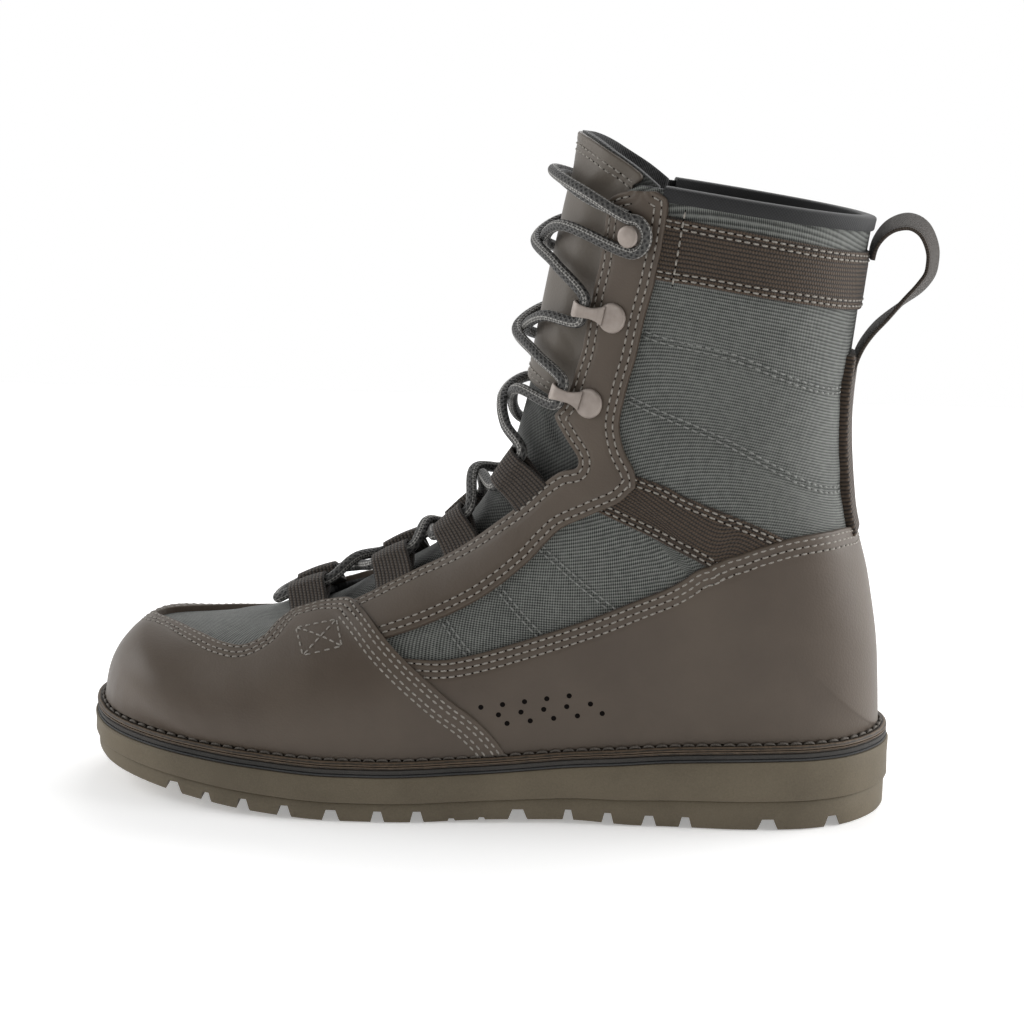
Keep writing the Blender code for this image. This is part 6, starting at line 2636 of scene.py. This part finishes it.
    def cord(self, name: str, path: Array) -> Object:
        """Round cord along a path, on frames carried along it without twist.

        Args:
            name: Name of the piece.
            path: Points of its middle.

        Returns:
            The object.
        """
        way = unit(np.gradient(path, axis=0))
        normal = np.empty_like(path)
        seed = np.cross(way[0], (0.31, 0.87, 0.38))
        for k, direction in enumerate(way):
            seed = unit(seed - direction * (seed @ direction))
            normal[k] = seed
        side = np.cross(way, normal)
        turn = np.linspace(0, 2 * np.pi, 17)
        sine, cosine = np.sin(turn[:-1])[None, :, None], np.cos(turn[:-1])[None, :, None]
        spokes = normal[:, None] * cosine + side[:, None] * sine
        rings = path[:, None] + spokes * self.radius
        closed = np.concatenate([rings, rings[:, :1]], 1)
        walked = arc_length(path)
        uv = np.stack(np.broadcast_arrays(turn[None] / (2 * np.pi), walked[:, None]), -1)
        faces = MeshShop.quads(*closed.shape[:2])
        faces = MeshShop.faced(closed, faces, closed - path[:, None])
        return MeshShop.add(name, closed, faces, [self.finishes.cord], uv)

    def build(self) -> None:
        """Make loops, hooks, studs and both halves of the lace."""
        for side in (-1, 1):
            for index, spot in enumerate(LOOPS):
                self.make_loop(index, spot, side)
            for index, spot in enumerate(HOOKS):
                self.make_hook(index, spot, side)
            self.make_stud(side)
        first, _ = self.half(-1, True)
        second, _ = self.half(1, False)
        second.insert(0, first[0] - (self.form.normal(5.4, 0.1) * 0.0002))
        main = self.cord("lace_first", self.smooth(first, 0.0009))
        other = self.cord("lace_second", self.smooth(second, 0.0009))
        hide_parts("lace")
        log.info("lacing: loops, hooks, studs and lace")


@dataclass
class PullLoop:
    """Webbing loop behind the collar."""

    form: BootForm
    finishes: Finishes
    width: float = 0.0200
    thick: float = 0.0019
    twist: float = 15.0
    path: tuple[tuple[float, float], ...] = (
        (-0.0008, 0.2070), (-0.0002, 0.2108), (0.0022, 0.2154), (0.0066, 0.2192), (0.0118, 0.2205),
        (0.0167, 0.2185), (0.0198, 0.2138), (0.0212, 0.2085), (0.0208, 0.2028), (0.0175, 0.1972),
        (0.0120, 0.1920), (0.0062, 0.1864), (0.0006, 0.1805), (-0.0036, 0.1738), (-0.0056, 0.1680),
        (-0.0064, 0.1640), (-0.0068, 0.1613),
    )

    def build(self) -> Object:
        """Sweep the strap's rounded section along its path in the plane of the back line."""
        back = self.form.flat(COLLAR_STATION, 1.0)
        knots = np.arange(len(self.path))
        fine = np.linspace(0, len(self.path) - 1, 400)
        x = back[0] + curve(knots, [row[0] for row in self.path], fine)
        z = curve(knots, [row[1] for row in self.path], fine)
        walked = arc_length(np.column_stack([x, z]))
        places = np.linspace(0, walked[-1], 110)
        x, z = np.interp(places, walked, x), np.interp(places, walked, z)
        for _ in range(5):
            x[1:-1] = x[1:-1] * 0.5 + (x[:-2] + x[2:]) * 0.25
            z[1:-1] = z[1:-1] * 0.5 + (z[:-2] + z[2:]) * 0.25
        path = np.column_stack([x, np.full_like(x, back[1]), z])
        flat = np.array([0.0, 1.0, 0.0])
        rise = np.cross(unit(np.gradient(path, axis=0)), flat)
        share = places / places[-1]
        turned = np.radians(self.twist) * smooth_step(0.0, 0.3, share) * (1 - smooth_step(0.5, 0.75, share))
        sine, cosine = np.sin(turned)[:, None], np.cos(turned)[:, None]
        across, face = flat * cosine + rise * sine, rise * cosine - flat * sine
        turn = np.linspace(0, 2 * np.pi, 48, endpoint=False)
        wide = np.sign(np.cos(turn)) * np.abs(np.cos(turn)) ** 0.35
        thin = np.sign(np.sin(turn)) * np.abs(np.sin(turn)) ** 0.45
        rings = (
            path[:, None]
            + across[:, None] * (wide * self.width / 2)[None, :, None]
            + face[:, None] * (thin * self.thick / 2)[None, :, None]
        )
        uv = np.stack(np.broadcast_arrays(places[:, None], (wide * self.width / 2)[None]), -1)
        piece = MeshShop.sweep("pull_strap", rings, [self.finishes.pull_web], uv)
        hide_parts("pull_loop")
        log.info("pull loop")
        return piece


@dataclass
class Studio:
    """Pale floor, soft light, and the camera at the photograph's viewing angle."""

    plan: SolePlan
    azimuth: float = 7.0
    distance: float = 0.735
    height: float = 0.2645
    focal: float = 1967.0
    pixels: int = 1024
    sensor: float = 36.0
    pitch: float = 12.0
    roll: float = 0.4
    middle: float = 0.0108
    front_fade: tuple[float, ...] = (-0.9, 0.5, 0.40, 1.0)
    zenith_fade: tuple[float, ...] = (0.20, 0.9, 1.0, 0.25)
    floor_reach: float = 90.0
    floor_back: float = 1.0
    floor_glow: float = 0.30

    def camera(self) -> Object:
        """Camera from the angles and distance fitted to the photograph.

        Returns:
            The camera.
        """
        a, p, r = np.radians([self.azimuth, self.pitch, self.roll])
        place = np.array([
            self.middle + self.distance * np.sin(a) + self.plan.shift_x,
            -self.distance * np.cos(a) + self.plan.shift_y,
            self.height,
        ])
        ahead = np.array([-np.sin(a) * np.cos(p), np.cos(a) * np.cos(p), -np.sin(p)])
        right = np.array([np.cos(a), np.sin(a), 0.0])
        up = np.cross(right, ahead)
        right, up = right * np.cos(r) + up * np.sin(r), up * np.cos(r) - right * np.sin(r)
        data = bpy.data.cameras.new("camera")
        data.sensor_width = self.sensor
        data.lens = self.focal / self.pixels * self.sensor
        data.clip_start, data.clip_end = 0.05, 20.0
        made = put("camera", data)
        made.matrix_world = upright(place, ahead, right, up)
        bpy.context.scene.camera = made
        return made

    @staticmethod
    def lamp(name: str, place: Sequence[float], size: float, power: float) -> None:
        """Square area light that looks at the middle of the boot.

        Args:
            name: Its name.
            place: Where it stands.
            size: Length of its side.
            power: Watts.
        """
        data = bpy.data.lights.new(name, "AREA")
        data.size = size
        data.energy = power
        ahead = unit(np.array((0.0, 0.0, 0.10)) - np.array(place))
        right = unit(np.cross(ahead, (0.0, 0.0, 1.0)))
        put(name, data).matrix_world = upright(np.array(place), ahead, right, np.cross(right, ahead))

    def build(self) -> None:
        """Make camera, floor, world and lights."""
        scene = bpy.context.scene
        self.camera()
        world = bpy.data.worlds.new("studio")
        world.use_nodes = True
        tree = world.node_tree
        sky = tree.nodes["Background"]
        sky.inputs[0].default_value = (1.0, 1.0, 1.0, 1.0)
        split = tree.nodes.new("ShaderNodeSeparateXYZ")
        tree.links.new(tree.nodes.new("ShaderNodeTexCoord").outputs["Generated"], split.inputs[0])
        strength = tree.nodes.new("ShaderNodeMath")
        strength.operation = "MULTIPLY"
        for axis, stops, socket in ((1, self.front_fade, 0), (2, self.zenith_fade, 1)):
            fade = tree.nodes.new("ShaderNodeMapRange")
            for entry, value in zip(fade.inputs[1:5], stops):
                entry.default_value = value
            tree.links.new(split.outputs[axis], fade.inputs[0])
            tree.links.new(fade.outputs[0], strength.inputs[socket])
        tree.links.new(strength.outputs[0], sky.inputs[1])
        scene.world = world
        reach, back = self.floor_reach, self.floor_back
        points = np.array([[-reach, -reach, 0], [reach, -reach, 0], [reach, back, 0], [-reach, back, 0]])
        paper = Shade("floor_paper", 0.9)
        paper.colour((0.97, 0.97, 0.97))
        paper.shader.inputs["Emission Color"].default_value = (1.0, 1.0, 1.0, 1.0)
        paper.shader.inputs["Emission Strength"].default_value = self.floor_glow
        mesh = bpy.data.meshes.new("floor")
        mesh.from_pydata(points.tolist(), [], [(0, 1, 2, 3)])
        mesh.materials.append(paper.material)
        put("floor", mesh)
        for lamp in LAMPS:
            self.lamp(*lamp)
        scene.view_settings.view_transform = "Standard"
        scene.view_settings.look = "None"
        log.info("studio: camera, floor and lights")


def main() -> None:
    """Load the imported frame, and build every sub-assembly in order."""
    logging.basicConfig(level=logging.INFO, format="%(name)s %(message)s")
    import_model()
    low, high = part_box("outsole")
    plan = SolePlan()
    plan.shift_x = (low[0] + high[0]) / 2
    middle = plan.outline(0.0)[:, 1]
    plan.shift_y = (low[1] + high[1]) / 2 - float(middle.min() + middle.max()) / 2
    Studio(plan).build()
    finishes = Finishes()
    stitching = Stitching(finishes)
    form = BootForm(plan)
    Sole(plan, finishes, stitching).build()
    Upper(form, finishes, stitching).build()
    Tongue(form, finishes, stitching).build()
    PullLoop(form, finishes).build()
    Lacing(form, finishes).build()
    for piece in stitching.sew():
        log.info("%s: %d faces", piece.name, len(piece.data.polygons))
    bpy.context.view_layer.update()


if __name__ == "__main__":
    main()
